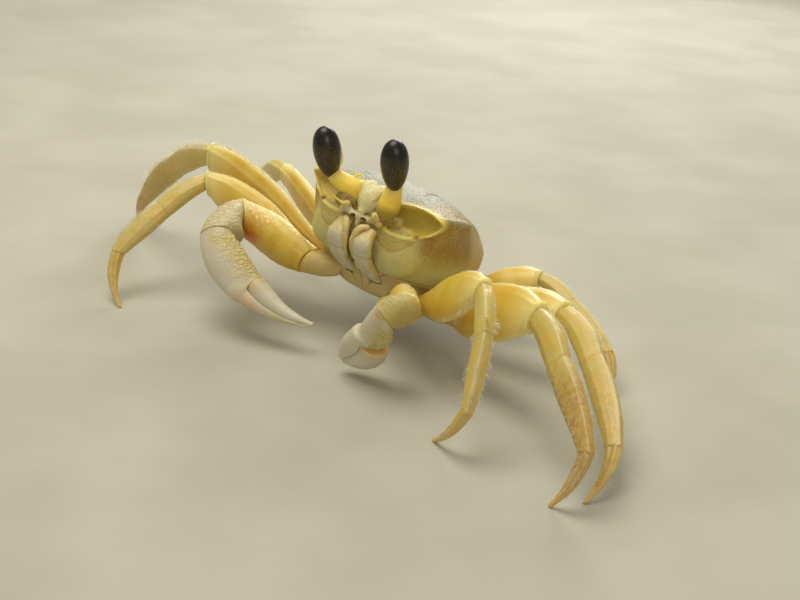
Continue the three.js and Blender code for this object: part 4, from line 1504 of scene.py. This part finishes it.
# %% Masks of the back and the cheeks
BAND_HEIGHTS = [9.6, 7.6, 6.6, 6.3, 7.0, 8.6, 11.0]  # of its lower edge, from the mouth outwards
back_edge = 13.0 - 0.5 * np.clip(y, 0, 14)
back = smoothstep(0.25, 0.6, normals[:, 2]) * smoothstep(0, 2.5, z - back_edge)
tan = smoothstep(8.0, 15.0, x) * back
over_band_edge = z - along(BAND_HEIGHTS, np.clip((x - 3.5) / 10.5, 0, 1))
on_front = smoothstep(3.6, 5.2, x) * smoothstep(-11, -13, y)
band = smoothstep(-0.5, 0.6, over_band_edge) * on_front * (1 - back) * (1 - orbit)
# The crease under the band, cut into the relief below, is also painted darker brown as shade.
crease = hill(over_band_edge, 0, 0.35) * on_front * 0.5
flank = smoothstep(-2.6, 2.8, y) * smoothstep(15.0, 16.5, x) * (1 - back)
patch = smoothstep(12.6, 15.6, x) * smoothstep(4.2, 10.5, z + 0.25 * (x - 15))
patch = patch * smoothstep(3.4, -3.0, y) * (1 - orbit) * (1 - 0.8 * back)
pale = smoothstep(7.0, 2.0, z)
print("points on the back:", int((back > 0.5).sum()))

# %% [markdown]
# ### Skin of the shell
# The relief is granular on the back, with shallow grooves that mark off the regions over gut and
# gills, finer on the cheeks, and beaded below the eye. It moves the points themselves, because a
# bump in the material would look flat at the edge of the shell.

# %% Skin of the shell with its granules
grain, fine = grains(points, 0.5, 31), grains(points, 0.42, 33)
grooves = hill(x - (6.2 + 0.03 * (y - 1) ** 2), 0, 0.7) * smoothstep(10, 6, y) * smoothstep(-9, -6, y)
grooves += hill(y - (1.5 - 0.12 * (x - 6)), 0, 0.8) * smoothstep(5.5, 7, x) * smoothstep(15, 12, x)
relief = grain * back * 0.09 + fine * (0.04 + 0.05 * band + 0.08 * brow) * (1 - orbit) + beads * 0.13
relief += dents(points, 3.0, 35, 0.14) - grooves * back * 0.28 - crease * 0.16
points += normals * relief[:, None]
form["points"] = place(points)
form["masks"] = {"back": back, "orbit": orbit, "rim": lip_and_highlight, "band": band, "flank": flank,
                 "patch": patch, "pale": pale, "granule": grain * back, "tan": tan,
                 "shelf": shelf, "nook": nook, "lit": lit, "bead": beads * 0.6, "brow": brow,
                 "crease": crease, "gape": gape}
make_piece("shell_plate", form, SHELL, ["carapace", "cheek_left", "cheek_right"])
print("the relief is up to", round(float(relief.max()), 2), "mm high")

# %% [markdown]
# ### Hips
# From the edge of the breast grow ten short hips, one for each limb. They are stubs that point at
# the limbs and melt into the breast, where separate stubs would look pushed in.

# %% Breast and hips as one field
TRUNK_MIDDLE = np.array([0, -2, HIP_HEIGHT - 2]) + OFFSET
HIP_SHARE = 0.42  # of the way from the limb to the trunk's middle
HIP_SWELL = np.array([0.75, 0.98, 0.9])  # its depth and width, as shares of the limb's
HIP_GAP = 0.13


def hip(spec):
    end = spec["line"](np.array([0.0]))[0] - spec["start_normal"] * 1.5 * JOINT_GAP
    start = end + (TRUNK_MIDDLE - end) * HIP_SHARE
    return {
        "line": lambda share: start + (end - start) * np.asarray(share)[..., None],
        "start_normal": unit(end - start), "end_normal": spec["start_normal"], "side": spec["side"],
        "depths": HIP_SWELL * spec["depths"][0],
        "widths": HIP_SWELL * spec["widths"][0],
    }


lower = mirrored(carved(HALF, SKIRT_CUT - half_axes[2], 0.4))
lower = carved(lower, mouth_room, 0.3)
lower = carved(lower, flap_room, 0.3)
for kind, specs in THIGHS.items():
    for spec in specs:
        lower = blended(lower, limb_field(hip(spec), 8), 0.8)
    lower = carved(lower, rooms[kind] + LIMB_ROOM - HIP_GAP, 0.2)
print("the breast is cut", SKIRT_CUT, "mm above the hips' level")

# %% [markdown]
# ### Breast
# Under the shell lies the breast, flat plates with seams between them. The seams are slanted
# grooves in the relief with a brown line in them, and the skin turns amber towards the limbs.

# %% Breast with the hips
COURSE_WIDTH = 3.6  # from seam to seam
form = skin_of(lower, full_axes, PITCH)
points, normals = form["points"], vertex_normals(form)
wide = np.abs(points[:, 0])
course = points[:, 1] + 0.55 * wide + dents(points, 3.0, 45, 0.5)
seams = hill(course % COURSE_WIDTH, COURSE_WIDTH / 2, 0.16)
seams = seams * smoothstep(0.8, 2.0, wide) * smoothstep(8, 6.5, wide)
seams = np.maximum(seams, hill(wide, 0, 0.14) * smoothstep(-4, -7, points[:, 1]))
relief = dents(points, 2.0, 41, 0.2) + grains(points, 0.5, 43) * 0.04 - seams * 0.3
points += normals * relief[:, None]
form["points"] = place(points)
near_limb = sampled(limbs_room, full_axes, PITCH, points)
form["masks"] = {"amber": np.maximum(smoothstep(1.8, 0.2, near_limb), smoothstep(9, 13, wide) * 0.7),
                 "groove": seams * 0.45, "pearl": smoothstep(9, 6, wide)}
make_piece("breast_plates", form, PLATE, ["sternum"])
print("breast made:", len(points), "points")

# %% [markdown]
# ### Doors of the mouth
# Two long plates close the mouth like doors, each crossed by one joint, with a furrow along it and
# a small jointed palp folded over its inner edge. Plate and palp are tubes along curves that follow
# the front of the crab down and under. A squarish section makes the plate flat, which an oval one
# would not.

# %% Mouth plates with their folded palps
PLATE_JOINT = 0.42  # share of the plate's length
PALP = [[3.3, -17.2, 9.7], [2.1, -18.3, 9.2], [1.2, -18.8, 7.2], [1.05, -18.2, 4.4], [1.0, -16.8, 2.2]]


def plate_relief(share, angle, points):
    front = crest(angle, 0, 1.4)
    split = hill(share, PLATE_JOINT, 0.012) * 0.5
    furrow = crests(angle, 0.2, 0.1)
    uneven = dents(points, 1.8, 51, 0.2) + grains(points, 0.5, 53) * 0.1
    return uneven - split * front - furrow * smoothstep(0.44, 0.5, share) * 0.22


def palp_joints(share, width):
    return hill((share * 3) % 1, 0.5, width)


def palp_relief(share, angle, points):
    return dents(points, 1.2, 57, 0.14) - palp_joints(share, 0.04) * 0.06


for side, sign in SIGNS.items():
    plate = tube(mouth_plate(sign), plate_relief, rings=130, sides=96)
    share, angle = plate["share"], plate["angle"]
    around = np.abs(np.sin(angle))
    top = smoothstep(0.3, 0.08, share)
    plate["masks"] = {"groove": hill(share, PLATE_JOINT, 0.008) * 0.4,
                      "amber": np.maximum(top * 0.6, smoothstep(0.8, 1.0, around) * 0.5),
                      "pearl": (1 - top) * smoothstep(0.9, 0.5, around)}
    palp = routed_tube(np.array(PALP) * [sign, 1, 1], [1.0, 1.2, 1.2, 1.0, 0.6],
                       [1.2, 1.6, 1.6, 1.3, 0.6], squareness=2.5)
    palp = tube(palp, palp_relief, 80, 40)
    palp["masks"] = {"groove": palp_joints(palp["share"], 0.03) * 0.2,
                     "amber": np.full(len(palp["share"]), 0.6),
                     "pearl": np.zeros(len(palp["share"]))}
    form = joined([plate, palp])
    form["points"] = place(form["points"])
    make_piece(f"maxilliped_{side}_plate", form, PLATE, [f"maxilliped_{side}"])
print("mouth plates made")

# %% [markdown]
# ### Belly flap
# The crab's tail is a thin flap of six rings, folded forward under the breast. It is seen from
# behind as a narrow ladder of plates. One flat tube with a groove between every two rings says
# enough, because the rings of a resting crab lie flush.

# %% Belly flap
def flap_joints(share, width):
    return hill((share * 6) % 1.0, 0.5, width)


def flap_relief(share, angle, points):
    return -flap_joints(share, 0.09) * 0.3 + dents(points, 2, 55, 0.1)


form = tube(belly_flap(), flap_relief, rings=140, sides=84)
form["masks"] = {"groove": flap_joints(form["share"], 0.06) * 0.4,
                 "amber": smoothstep(0.5, 0.0, form["share"]) * 0.6,
                 "pearl": np.zeros_like(form["share"])}
form["points"] = place(form["points"])
make_piece("belly_flap", form, PLATE, ["abdomen"])
print("belly flap made:", len(form["points"]), "points")

# %% [markdown]
# ### Bar over the mouth
# Between the lobe and the mouth plates lies a small knobbly bar with two pits, painted dark brown
# as shade, where the short feelers fold away, and beads at its sides, where the long ones stand. It
# is the middle of the face, so it gets a finer grid than the trunk. Eggs and rods melted together
# give its swellings.

# %% Bar over the mouth, with the beads that the feelers stand on
BAR_PITCH = 0.1 * COARSE
bar_axes = grid_axes([-7, -20, 7.5], [7, -13, 15], BAR_PITCH)
bar = egg_field(bar_axes, [0, -16.3, 10.8], [4.5, 1.3, 0.8])
bar = blended(bar, tapered_field(bar_axes, [0, -16.8, 11.2], [0, -17.2, 9.0], 0.75, 0.45), 0.5)
for sign in (1, -1):
    arm = tapered_field(bar_axes, [sign * 2.4, -16.6, 11.0], [sign * 4.3, -17.0, 12.0], 0.6, 0.9)
    bar = blended(bar, arm, 0.4)
    bar = blended(bar, egg_field(bar_axes, [sign * 3.9, -17.0, 12.3], [0.95, 0.9, 0.9]), 0.25)
    bar = blended(bar, egg_field(bar_axes, [sign * 5.0, -16.6, 10.9], [0.8, 0.7, 0.8]), 0.25)
pits = np.minimum(*[
    egg_field(bar_axes, [sign * 1.5, -17.8, 10.6], [0.75, 0.9, 0.5], turn_about("Y", sign * 20))
    for sign in (1, -1)])
bar = carved(bar, pits, 0.25)
form = skin_of(bar, bar_axes, BAR_PITCH)
points = form["points"]
# Painted shade: the two pits are painted dark brown, as the shade in them.
pit_shade = smoothstep(0.25, 0.0, sampled(pits, bar_axes, BAR_PITCH, points))
points += vertex_normals(form) * dents(points, 0.8, 61, 0.2)[:, None]
wide = np.abs(points[:, 0])
form["masks"] = {"groove": np.maximum(hill(wide, 2.9, 0.2) * 0.3, pit_shade),
                 "amber": 0.15 + 0.6 * smoothstep(4.2, 5.2, wide), "pearl": np.zeros(len(points))}
form["points"] = place(points)
make_piece("mouth_bar", form, PLATE, ["epistome"])
print("bar made:", len(points), "points")

# %% [markdown]
# ## The eyes
# A ghost crab's eyes are its most striking part: tall dark eggs that stand up on clear yellow
# stalks and wrap round them on all sides. The right eye leans out and the left one stands up, so
# each has a pose of its own: the base of its stalk, the middle of its cornea and two lean angles.

# %% Sizes and poses of the eyes
EYE = {"length": 11.4, "width": 5.9}
EYE_POSE = {
    "left": {"base": [5.2, -15.2, 14.4], "centre": [5.9, -18.0, 24.0], "outward": -3, "forward": 20},
    "right": {"base": [4.5, -14.5, 15.3], "centre": [11.7, -18.0, 21.2], "outward": 13, "forward": 20},
}


def eye_axis(side):
    """The way an eye points, and the places of its stalk's base and of its cornea's middle."""
    flip, pose = np.array([SIGNS[side], 1, 1]), EYE_POSE[side]
    outward, forward = math.radians(pose["outward"]), math.radians(pose["forward"])
    axis = unit([math.tan(outward), -math.tan(forward), 1]) * flip
    return axis, np.array(pose["base"]) * flip, np.array(pose["centre"]) * flip


def eye_back(side):
    """The way to the inner back of the eye, where its rib runs up."""
    return np.array([-SIGNS[side] * 0.62, 0.78, 0])


print("the left eye points", eye_axis("left")[0].round(2))

# %% [markdown]
# ### Cornea
# The cornea is an egg, wider above the middle. It is made from rings round the eye's axis with
# their places worked out, so it is perfectly smooth; a sphere with a proportional edit would do as
# well. It carries a mask for the mottled lower half, one for its foot and one for its inner back.

# %% Cornea
TOP_HEAVY = 0.14


def cornea(side, rows=84, columns=100):
    axis, _, centre = eye_axis(side)
    rows, columns = int(rows / COARSE), int(columns / COARSE)
    heights = np.cos(np.linspace(0, math.pi, rows + 2)[1:-1])
    angles = np.arange(columns) / columns * 2 * math.pi
    h, a = np.meshgrid(heights, angles, indexing="ij")
    first = unit(np.cross(axis, [0, 1.0, 0]))
    second = np.cross(axis, first)
    girth = EYE["width"] / 2 * (1 + TOP_HEAVY * h) * np.sqrt(1 - h * h)
    points = centre + axis * (h * EYE["length"] / 2)[..., None]
    points = points + (first * np.cos(a)[..., None] + second * np.sin(a)[..., None]) * girth[..., None]
    poles = np.array([centre + axis * EYE["length"] / 2, centre - axis * EYE["length"] / 2])
    points = np.concatenate([points.reshape(-1, 3), poles])
    height = np.concatenate([h.ravel(), [1, -1]])
    behind = (points - centre) @ unit(eye_back(side)) / (EYE["width"] / 2)
    masks = {"fleck": smoothstep(0.7, 0.0, height), "foot": smoothstep(-0.75, -0.95, height),
             "edge": smoothstep(0.7, 1.0, behind)}
    return {"points": place(points), "faces": ring_faces(rows, columns), "masks": masks}


print("a cornea has", len(cornea("left")["points"]), "points")

# %% [markdown]
# ### Stalk
# The stalk is a column with a waist, melted onto a rounded foot, and a flat rib of it runs on up
# the inner back of the eye. A thin fold of skin curls beside the right foot. Fields blend the
# three, because a seam would show in skin as clear as this.

# %% Stalks
STALK_PITCH = 0.13 * COARSE
STALK_GIRTH = [3.0, 4.8, 3.3, 2.8, 2.5, 2.2, 1.0]  # at foot, base and neck, then up the rib
STALK_FOOT = [2.5, 2.4, 2.3]
CURL = [[-6.5, -14.7, 17.2], [-5.0, -13.9, 18.4], [-3.7, -13.8, 17.5], [-3.6, -14.5, 16.5],
        [-4.4, -15.2, 15.8]]
CURL_GIRTH = [0.5, 0.6, 0.6, 0.6, 0.4]


def stalk_column(side):
    """The waisted column under the cornea, which runs on as a flat rib up its inner back."""
    axis, base, centre = eye_axis(side)

    def beside(share, offset):
        return centre + axis * EYE["length"] * share + eye_back(side) * offset

    neck = beside(-0.4, 0.9)
    foot = base + unit(base - neck) * 2.2
    rib = [beside(-0.2, 1.9), beside(0.1, 2.15), beside(0.28, 1.75), beside(0.4, 1.1)]
    return {
        "line": routed_line([foot, base, neck, *rib]),
        "start_normal": unit(neck - base), "end_normal": axis, "side": np.array([1.0, 0, 0]),
        "depths": STALK_GIRTH, "widths": STALK_GIRTH,
    }


def stalk(side):
    axis, base, centre = eye_axis(side)
    rise = centre - axis * EYE["length"] * 0.4 - base
    column = tube(stalk_column(side), None, rings=100, sides=72)
    axes = grid_axes(column["points"].min(0) - 2, column["points"].max(0) + 2, STALK_PITCH)
    ball = egg_field(axes, base - unit(rise) * 0.6, STALK_FOOT)
    body = blended(field_of(column, axes, STALK_PITCH), ball, 0.8)
    if side == "right":
        curl = tube(routed_tube(CURL, CURL_GIRTH, CURL_GIRTH), None, 60, 24)
        body = blended(body, field_of(curl, axes, STALK_PITCH), 0.3)
    form = skin_of(body, axes, STALK_PITCH)
    points = form["points"]
    points += vertex_normals(form) * dents(points, 1.6, 71, 0.16)[:, None]
    height = (points - base) @ unit(rise) / np.linalg.norm(rise)
    form["masks"] = {"top": hill(height, 0.9, 0.3), "rib": smoothstep(1.15, 1.5, height),
                     "foot": smoothstep(0.36, 0.0, height) * (1 if side == "left" else 0.25)}
    form["points"] = place(points)
    return form


for side in SIGNS:
    make_piece(f"cornea_{side}_globe", cornea(side), CORNEA, [f"cornea_{side}"])
    make_piece(f"eyestalk_{side}_skin", stalk(side), STALK, [f"eyestalk_{side}"])
print("eyes made, each", EYE["length"], "mm tall")

# %% [markdown]
# ### Feelers
# The long feelers of a ghost crab are tiny, a few millimetres of yellow whip beside each socket. A
# thin tube with rings along it is enough. Left away, the face would look unfinished, because real
# ones catch the light against the dark of the socket.

# %% Feelers
def feeler(sign):
    run = np.array([[4.0, -17.2, 12.3], [4.7, -18.6, 12.7], [6.0, -19.9, 13.6]]) * [sign, 1, 1]
    return routed_tube(run, [1.2, 0.6, 0.3], [1.2, 0.6, 0.3], side=UP, rim=0.2)


for side, sign in SIGNS.items():
    form = tube(feeler(sign), lambda s, a, p: -hill((s * 7) % 1, 0.5, 0.15) * 0.06, 80, 40)
    form["points"] = place(form["points"])
    none = np.zeros(len(form["share"]))
    form["masks"] = {"top": none + 0.5, "rib": none, "foot": none}
    make_piece(f"antenna_{side}_whip", form, STALK, [f"antenna_{side}"])
print("feelers made")

# %% [markdown]
# ## Bristles
# The shanks and toes carry fringes of stiff pale bristles that comb sand, long on the upper edges
# and short on the toes. Each bristle here is its own thin three-sided spike that bends towards
# the toe, so it catches light and casts a shadow as a real one does, and every fringe is one mesh.
# Each bristle's patch on the OFBake map lies at its root's place on its own tube, unrolled.

# %% Grow bristles
UNROLLED_COLUMNS, UNROLLED_ROWS = 6, 8
PATCH_WIDTH = 0.003
BRISTLE_STEPS = [0.0, 0.4, 0.75]  # shares of the length where its three-sided rings lie
ROOT_DEPTH, BEND, TAPER, STRAY = 0.12, 0.28, 0.75, 0.16
# Faces of one bristle, whose points are three rings of three and a tip.
SIDE_FACES = np.array([[k + c, k + (c + 1) % 3, k + 3 + (c + 1) % 3, k + 3 + c]
                       for k in (0, 3) for c in range(3)])
TIP_FACES = np.array([[6 + c, 6 + (c + 1) % 3, 9] for c in range(3)])


def fringe(spec, cell, seed, count, angles, shares, length, lie, thickness):
    """Bristles rooted on a tube: where, how long, and how flat they lie along it."""
    draw = np.random.default_rng(seed)
    count = max(int(count / COARSE), 8)
    share = draw.uniform(*shares, count)
    angle = math.pi * (draw.choice(angles, count) + draw.normal(0, 0.035, count))
    root, spoke = on_tube(spec, share, angle)
    out = unit(spoke)
    ahead = unit(spec["line"](np.minimum(share + 0.02, 1)) - spec["line"](share - 0.02))
    stray = draw.normal(0, STRAY, (count, 3))
    first = unit(out + ahead * lie + stray)
    size = length * draw.uniform(0.55, 1.15, count) * (0.7 + 0.3 * np.sin(share * math.pi))
    across = unit(np.cross(first, ahead + 0.01))
    second = np.cross(first, across)
    rings = []
    for step in BRISTLE_STEPS:
        centre = root - out * ROOT_DEPTH + first * (size * step)[:, None]
        centre = centre + ahead * (size * BEND * step ** 2)[:, None]
        radius = thickness / 2 * (1 - TAPER * step)
        for corner in range(3):
            turn = corner * 2 * math.pi / 3
            rings.append(centre + radius * (math.cos(turn) * across + math.sin(turn) * second))
    tip = root + first * size[:, None] + ahead * (size * BEND)[:, None]
    points = np.stack([*rings, tip], axis=1)
    starts = np.arange(count)[:, None, None] * 10
    column, row = cell % UNROLLED_COLUMNS, cell // UNROLLED_COLUMNS
    u = (column + 0.05 + 0.9 * (angle / (2 * math.pi) % 1)) / UNROLLED_COLUMNS
    v = (row + 0.05 + 0.9 * share) / UNROLLED_ROWS
    patch = np.array([[k % 3, k // 3] for k in range(10)]) * PATCH_WIDTH / 3
    places = np.stack([u, v], axis=-1)[:, None] + patch
    return {"points": points.reshape(-1, 3), "places": places.reshape(-1, 2),
            "faces": [(SIDE_FACES + starts).reshape(-1, 4), (TIP_FACES + starts).reshape(-1, 3)]}


def make_fringes(name, fringes):
    piece = make_piece(name, joined(fringes), BRISTLE)
    places = np.concatenate([part["places"] for part in fringes])
    corners = np.empty(len(piece.data.loops), np.int32)
    piece.data.loops.foreach_get("vertex_index", corners)
    unrolled = piece.data.uv_layers.new(name="OFBake")
    unrolled.data.foreach_set("uv", places[corners].astype(np.float32).ravel())
    print(name, len(piece.data.polygons), "faces")


print("a bristle's patch is", PATCH_WIDTH, "across on the map")

# %% [markdown]
# ### Where the bristles grow
# All legs have a short plain coat. Beyond that the fringes differ: the raised right leg has a soft
# pale fringe along its whole upper edge, the stained left one a comb of short stiff bristles. Each
# row below is one fringe. Hair particles would need fewer numbers, but a museum model's bristles
# are solid, and so are these.

# %% Fringes of the legs
UPPER, LOWER, FLANKS = [0.82, 1.18], [0.12, 1.88], [0.4, 0.6, 1.4, 1.6]
# Part, how many, lines round the tube, stretch along it, length, lie and thickness, for each leg.
PLAIN_COAT = [
    ("merus", 110, [1.0], (0.3, 0.97), 0.6, 0.8, 0.1),
    ("carpus", 60, UPPER, (0.1, 0.98), 0.9, 0.7, 0.1),
    ("propodus", 130, UPPER + LOWER, (0.05, 0.98), 1.0, 0.8, 0.1),
    ("dactyl", 140, UPPER + FLANKS, (0.05, 0.8), 0.6, 1.4, 0.08),
]
LEG_COATS = {
    ("left", 0): [
        ("carpus", 90, UPPER + LOWER, (0.75, 0.98), 2.6, 0.4, 0.13),
        ("propodus", 200, UPPER + LOWER, (0.03, 0.95), 2.0, 0.5, 0.12),
        ("merus", 40, LOWER, (0.6, 0.95), 1.4, 0.5, 0.1),
    ],
    ("left", 1): [("carpus", 160, UPPER, (0.4, 1.0), 0.9, 1.0, 0.1),
                  ("propodus", 520, UPPER + FLANKS, (0.0, 1.0), 1.1, 1.2, 0.11),
                  ("dactyl", 300, UPPER + FLANKS, (0.0, 0.7), 1.0, 2.0, 0.09)],
    ("left", 2): [("propodus", 220, LOWER + FLANKS, (0.1, 0.9), 1.3, 0.3, 0.1),
                  ("carpus", 60, UPPER, (0.6, 1.0), 0.9, 0.5, 0.1)],
    ("right", 0): [("propodus", 320, UPPER + [1.0], (0.02, 0.95), 1.4, 0.7, 0.11),
                   ("carpus", 180, UPPER + [1.0], (0.2, 1.0), 1.4, 0.7, 0.11)],
    ("right", 1): [("carpus", 290, UPPER + [1.0, 0.92, 1.08], (0.05, 1.0), 2.1, 0.7, 0.08),
                   ("propodus", 400, UPPER + [1.0, 0.92, 1.08], (0.0, 1.0), 2.5, 0.7, 0.08),
                   ("merus", 220, [1.0, 0.96, 1.04], (0.5, 0.97), 1.1, 0.8, 0.09)],
    ("right", 2): [("propodus", 200, UPPER, (0.05, 0.95), 1.4, 0.7, 0.1)],
}
CLAW_COAT = [("merus", 120, [0.95, 1.05], (0.2, 0.97), 0.5, 0.5, 0.07),
             ("carpus", 60, [0.8, 1.0, 1.2], (0.1, 0.9), 0.45, 0.5, 0.07)]
FIRST_CLAW_CELL, FIRST_CLAW_SEED = 16, 5000  # the sixteen leg segments come first on the map
for side in SIGNS:
    fringes = []
    for index in range(4):
        rows = PLAIN_COAT + LEG_COATS.get((side, index), [])
        for i, (part, *row) in enumerate(rows):
            cell = PARTS.index(part) + 4 * index
            seed = 1000 * index + 10 * i + (side == "left")
            fringes.append(fringe(LEG_SPECS[side, index][part], cell, seed, *row))
    for i, (part, *row) in enumerate(CLAW_COAT):
        spec = CLAW_SPECS[side][part]
        fringes.append(fringe(spec, FIRST_CLAW_CELL + i, FIRST_CLAW_SEED + i, *row))
    make_fringes(f"bristles_{side}", fringes)

# %% [markdown]
# ## The stage
# A museum model is shown on a plain pale floor in soft light. The floor is a wide matt plane, with
# patches of slightly paler tone so that shadows have something to lie on. Its roughness is high,
# because a shiny floor would mirror the legs and hide the small feet.

# %% Floor
FLOOR_REACH = 6.0  # metres
corners = [(x * FLOOR_REACH, y * FLOOR_REACH, 0) for x, y in ((-1, -1), (1, -1), (1, 1), (-1, 1))]
floor_mesh = bpy.data.meshes.new("floor")
floor_mesh.from_pydata(corners, [], [(0, 1, 2, 3)])
floor = in_scene("floor", floor_mesh)
PALE_FLOOR = layered_finish("pale_floor", "#B2AFA0", [
    ("#BAB7A9", None, 1.0, (40.0, 0.4, 0.6)),
], 0.92, 0.0)
floor_mesh.materials.append(PALE_FLOOR)
print("the floor reaches", FLOOR_REACH, "m each way")

# %% [markdown]
# ### Light
# On a beach under thin cloud, light comes from the whole sky and shines through the thin legs from
# behind. Three large soft lamps and a pale world give that: one high over the crab, a warm one from
# its left, and one behind it, which lights up the clear horn of the thighs. A single sun lamp would
# cast hard shadows and leave the face dark.

# %% Light
# Where each lamp stands, what it aims at and how wide it is, in millimetres; watts and colour.
LAMPS = {
    "sky": ((-120, -60, 520), (0, 0, 10), 420, 2.0, "#FFFAEA"),
    "side": ((420, -320, 300), (0, 0, 20), 260, 0.5, "#FFF6E6"),
    "behind": ((-200, 420, 260), (0, 0, 20), 300, 1.2, "#FFFFFF"),
}
WORLD = {"Color": linear("#E9E5D6"), "Strength": 0.45}


def soft_light(name, place_mm, aim_mm, size_mm, watts, colour):
    lamp = bpy.data.lights.new(name, "AREA")
    lamp.shape, lamp.size, lamp.energy = "DISK", size_mm * MM, watts
    lamp.color = linear(colour)[:3]
    holder = in_scene(name, lamp)
    holder.location = Vector(place_mm) * MM
    holder.rotation_mode = "QUATERNION"
    holder.rotation_quaternion = (Vector(aim_mm) - Vector(place_mm)).to_track_quat("-Z", "Y")


for name, settings in LAMPS.items():
    soft_light(name, *settings)
world = bpy.data.worlds.new("room")
world.use_nodes = True
for socket, value in WORLD.items():
    world.node_tree.nodes["Background"].inputs[socket].default_value = value
bpy.context.scene.world = world
print("lamps:", [item.name for item in bpy.data.lights])

# %% [markdown]
# ### Camera
# The crab is seen from its left front and from a little above, through a long lens, which keeps the
# near legs from looking larger than the far ones. The camera is set by its bearing, its height
# angle and a slight roll round the point that it looks at, so each can be changed on its own, with
# no tracking constraint left behind.

# %% Camera
BEARING, ELEVATION, ROLL = (math.radians(d) for d in (37.46, 22.12, 4.04))
TARGET = np.array([-1.300, 13.244, 0.3])
DISTANCE = 334
LENS, SENSOR_WIDTH = 64.485, 36.0
back_way = np.array([math.sin(BEARING) * math.cos(ELEVATION),
                     -math.cos(BEARING) * math.cos(ELEVATION), math.sin(ELEVATION)])
level_way = np.array([math.cos(BEARING), math.sin(BEARING), 0])
upright = np.cross(back_way, level_way)
right_way = math.cos(ROLL) * level_way + math.sin(ROLL) * upright
up_way = np.cross(back_way, right_way)
camera_data = bpy.data.cameras.new("camera")
camera_data.lens, camera_data.sensor_width = LENS, SENSOR_WIDTH
camera_data.clip_start, camera_data.clip_end = 0.01, 20
camera = in_scene("camera", camera_data)
turn = Matrix([[float(v[i]) for v in (right_way, up_way, back_way)] for i in range(3)])
camera.matrix_world = Matrix.Translation(Vector((TARGET + back_way * DISTANCE) * MM)) @ turn.to_4x4()
bpy.context.scene.camera = camera
bpy.context.scene.view_settings.view_transform = "Standard"
print("the camera is", DISTANCE, "mm from the crab")
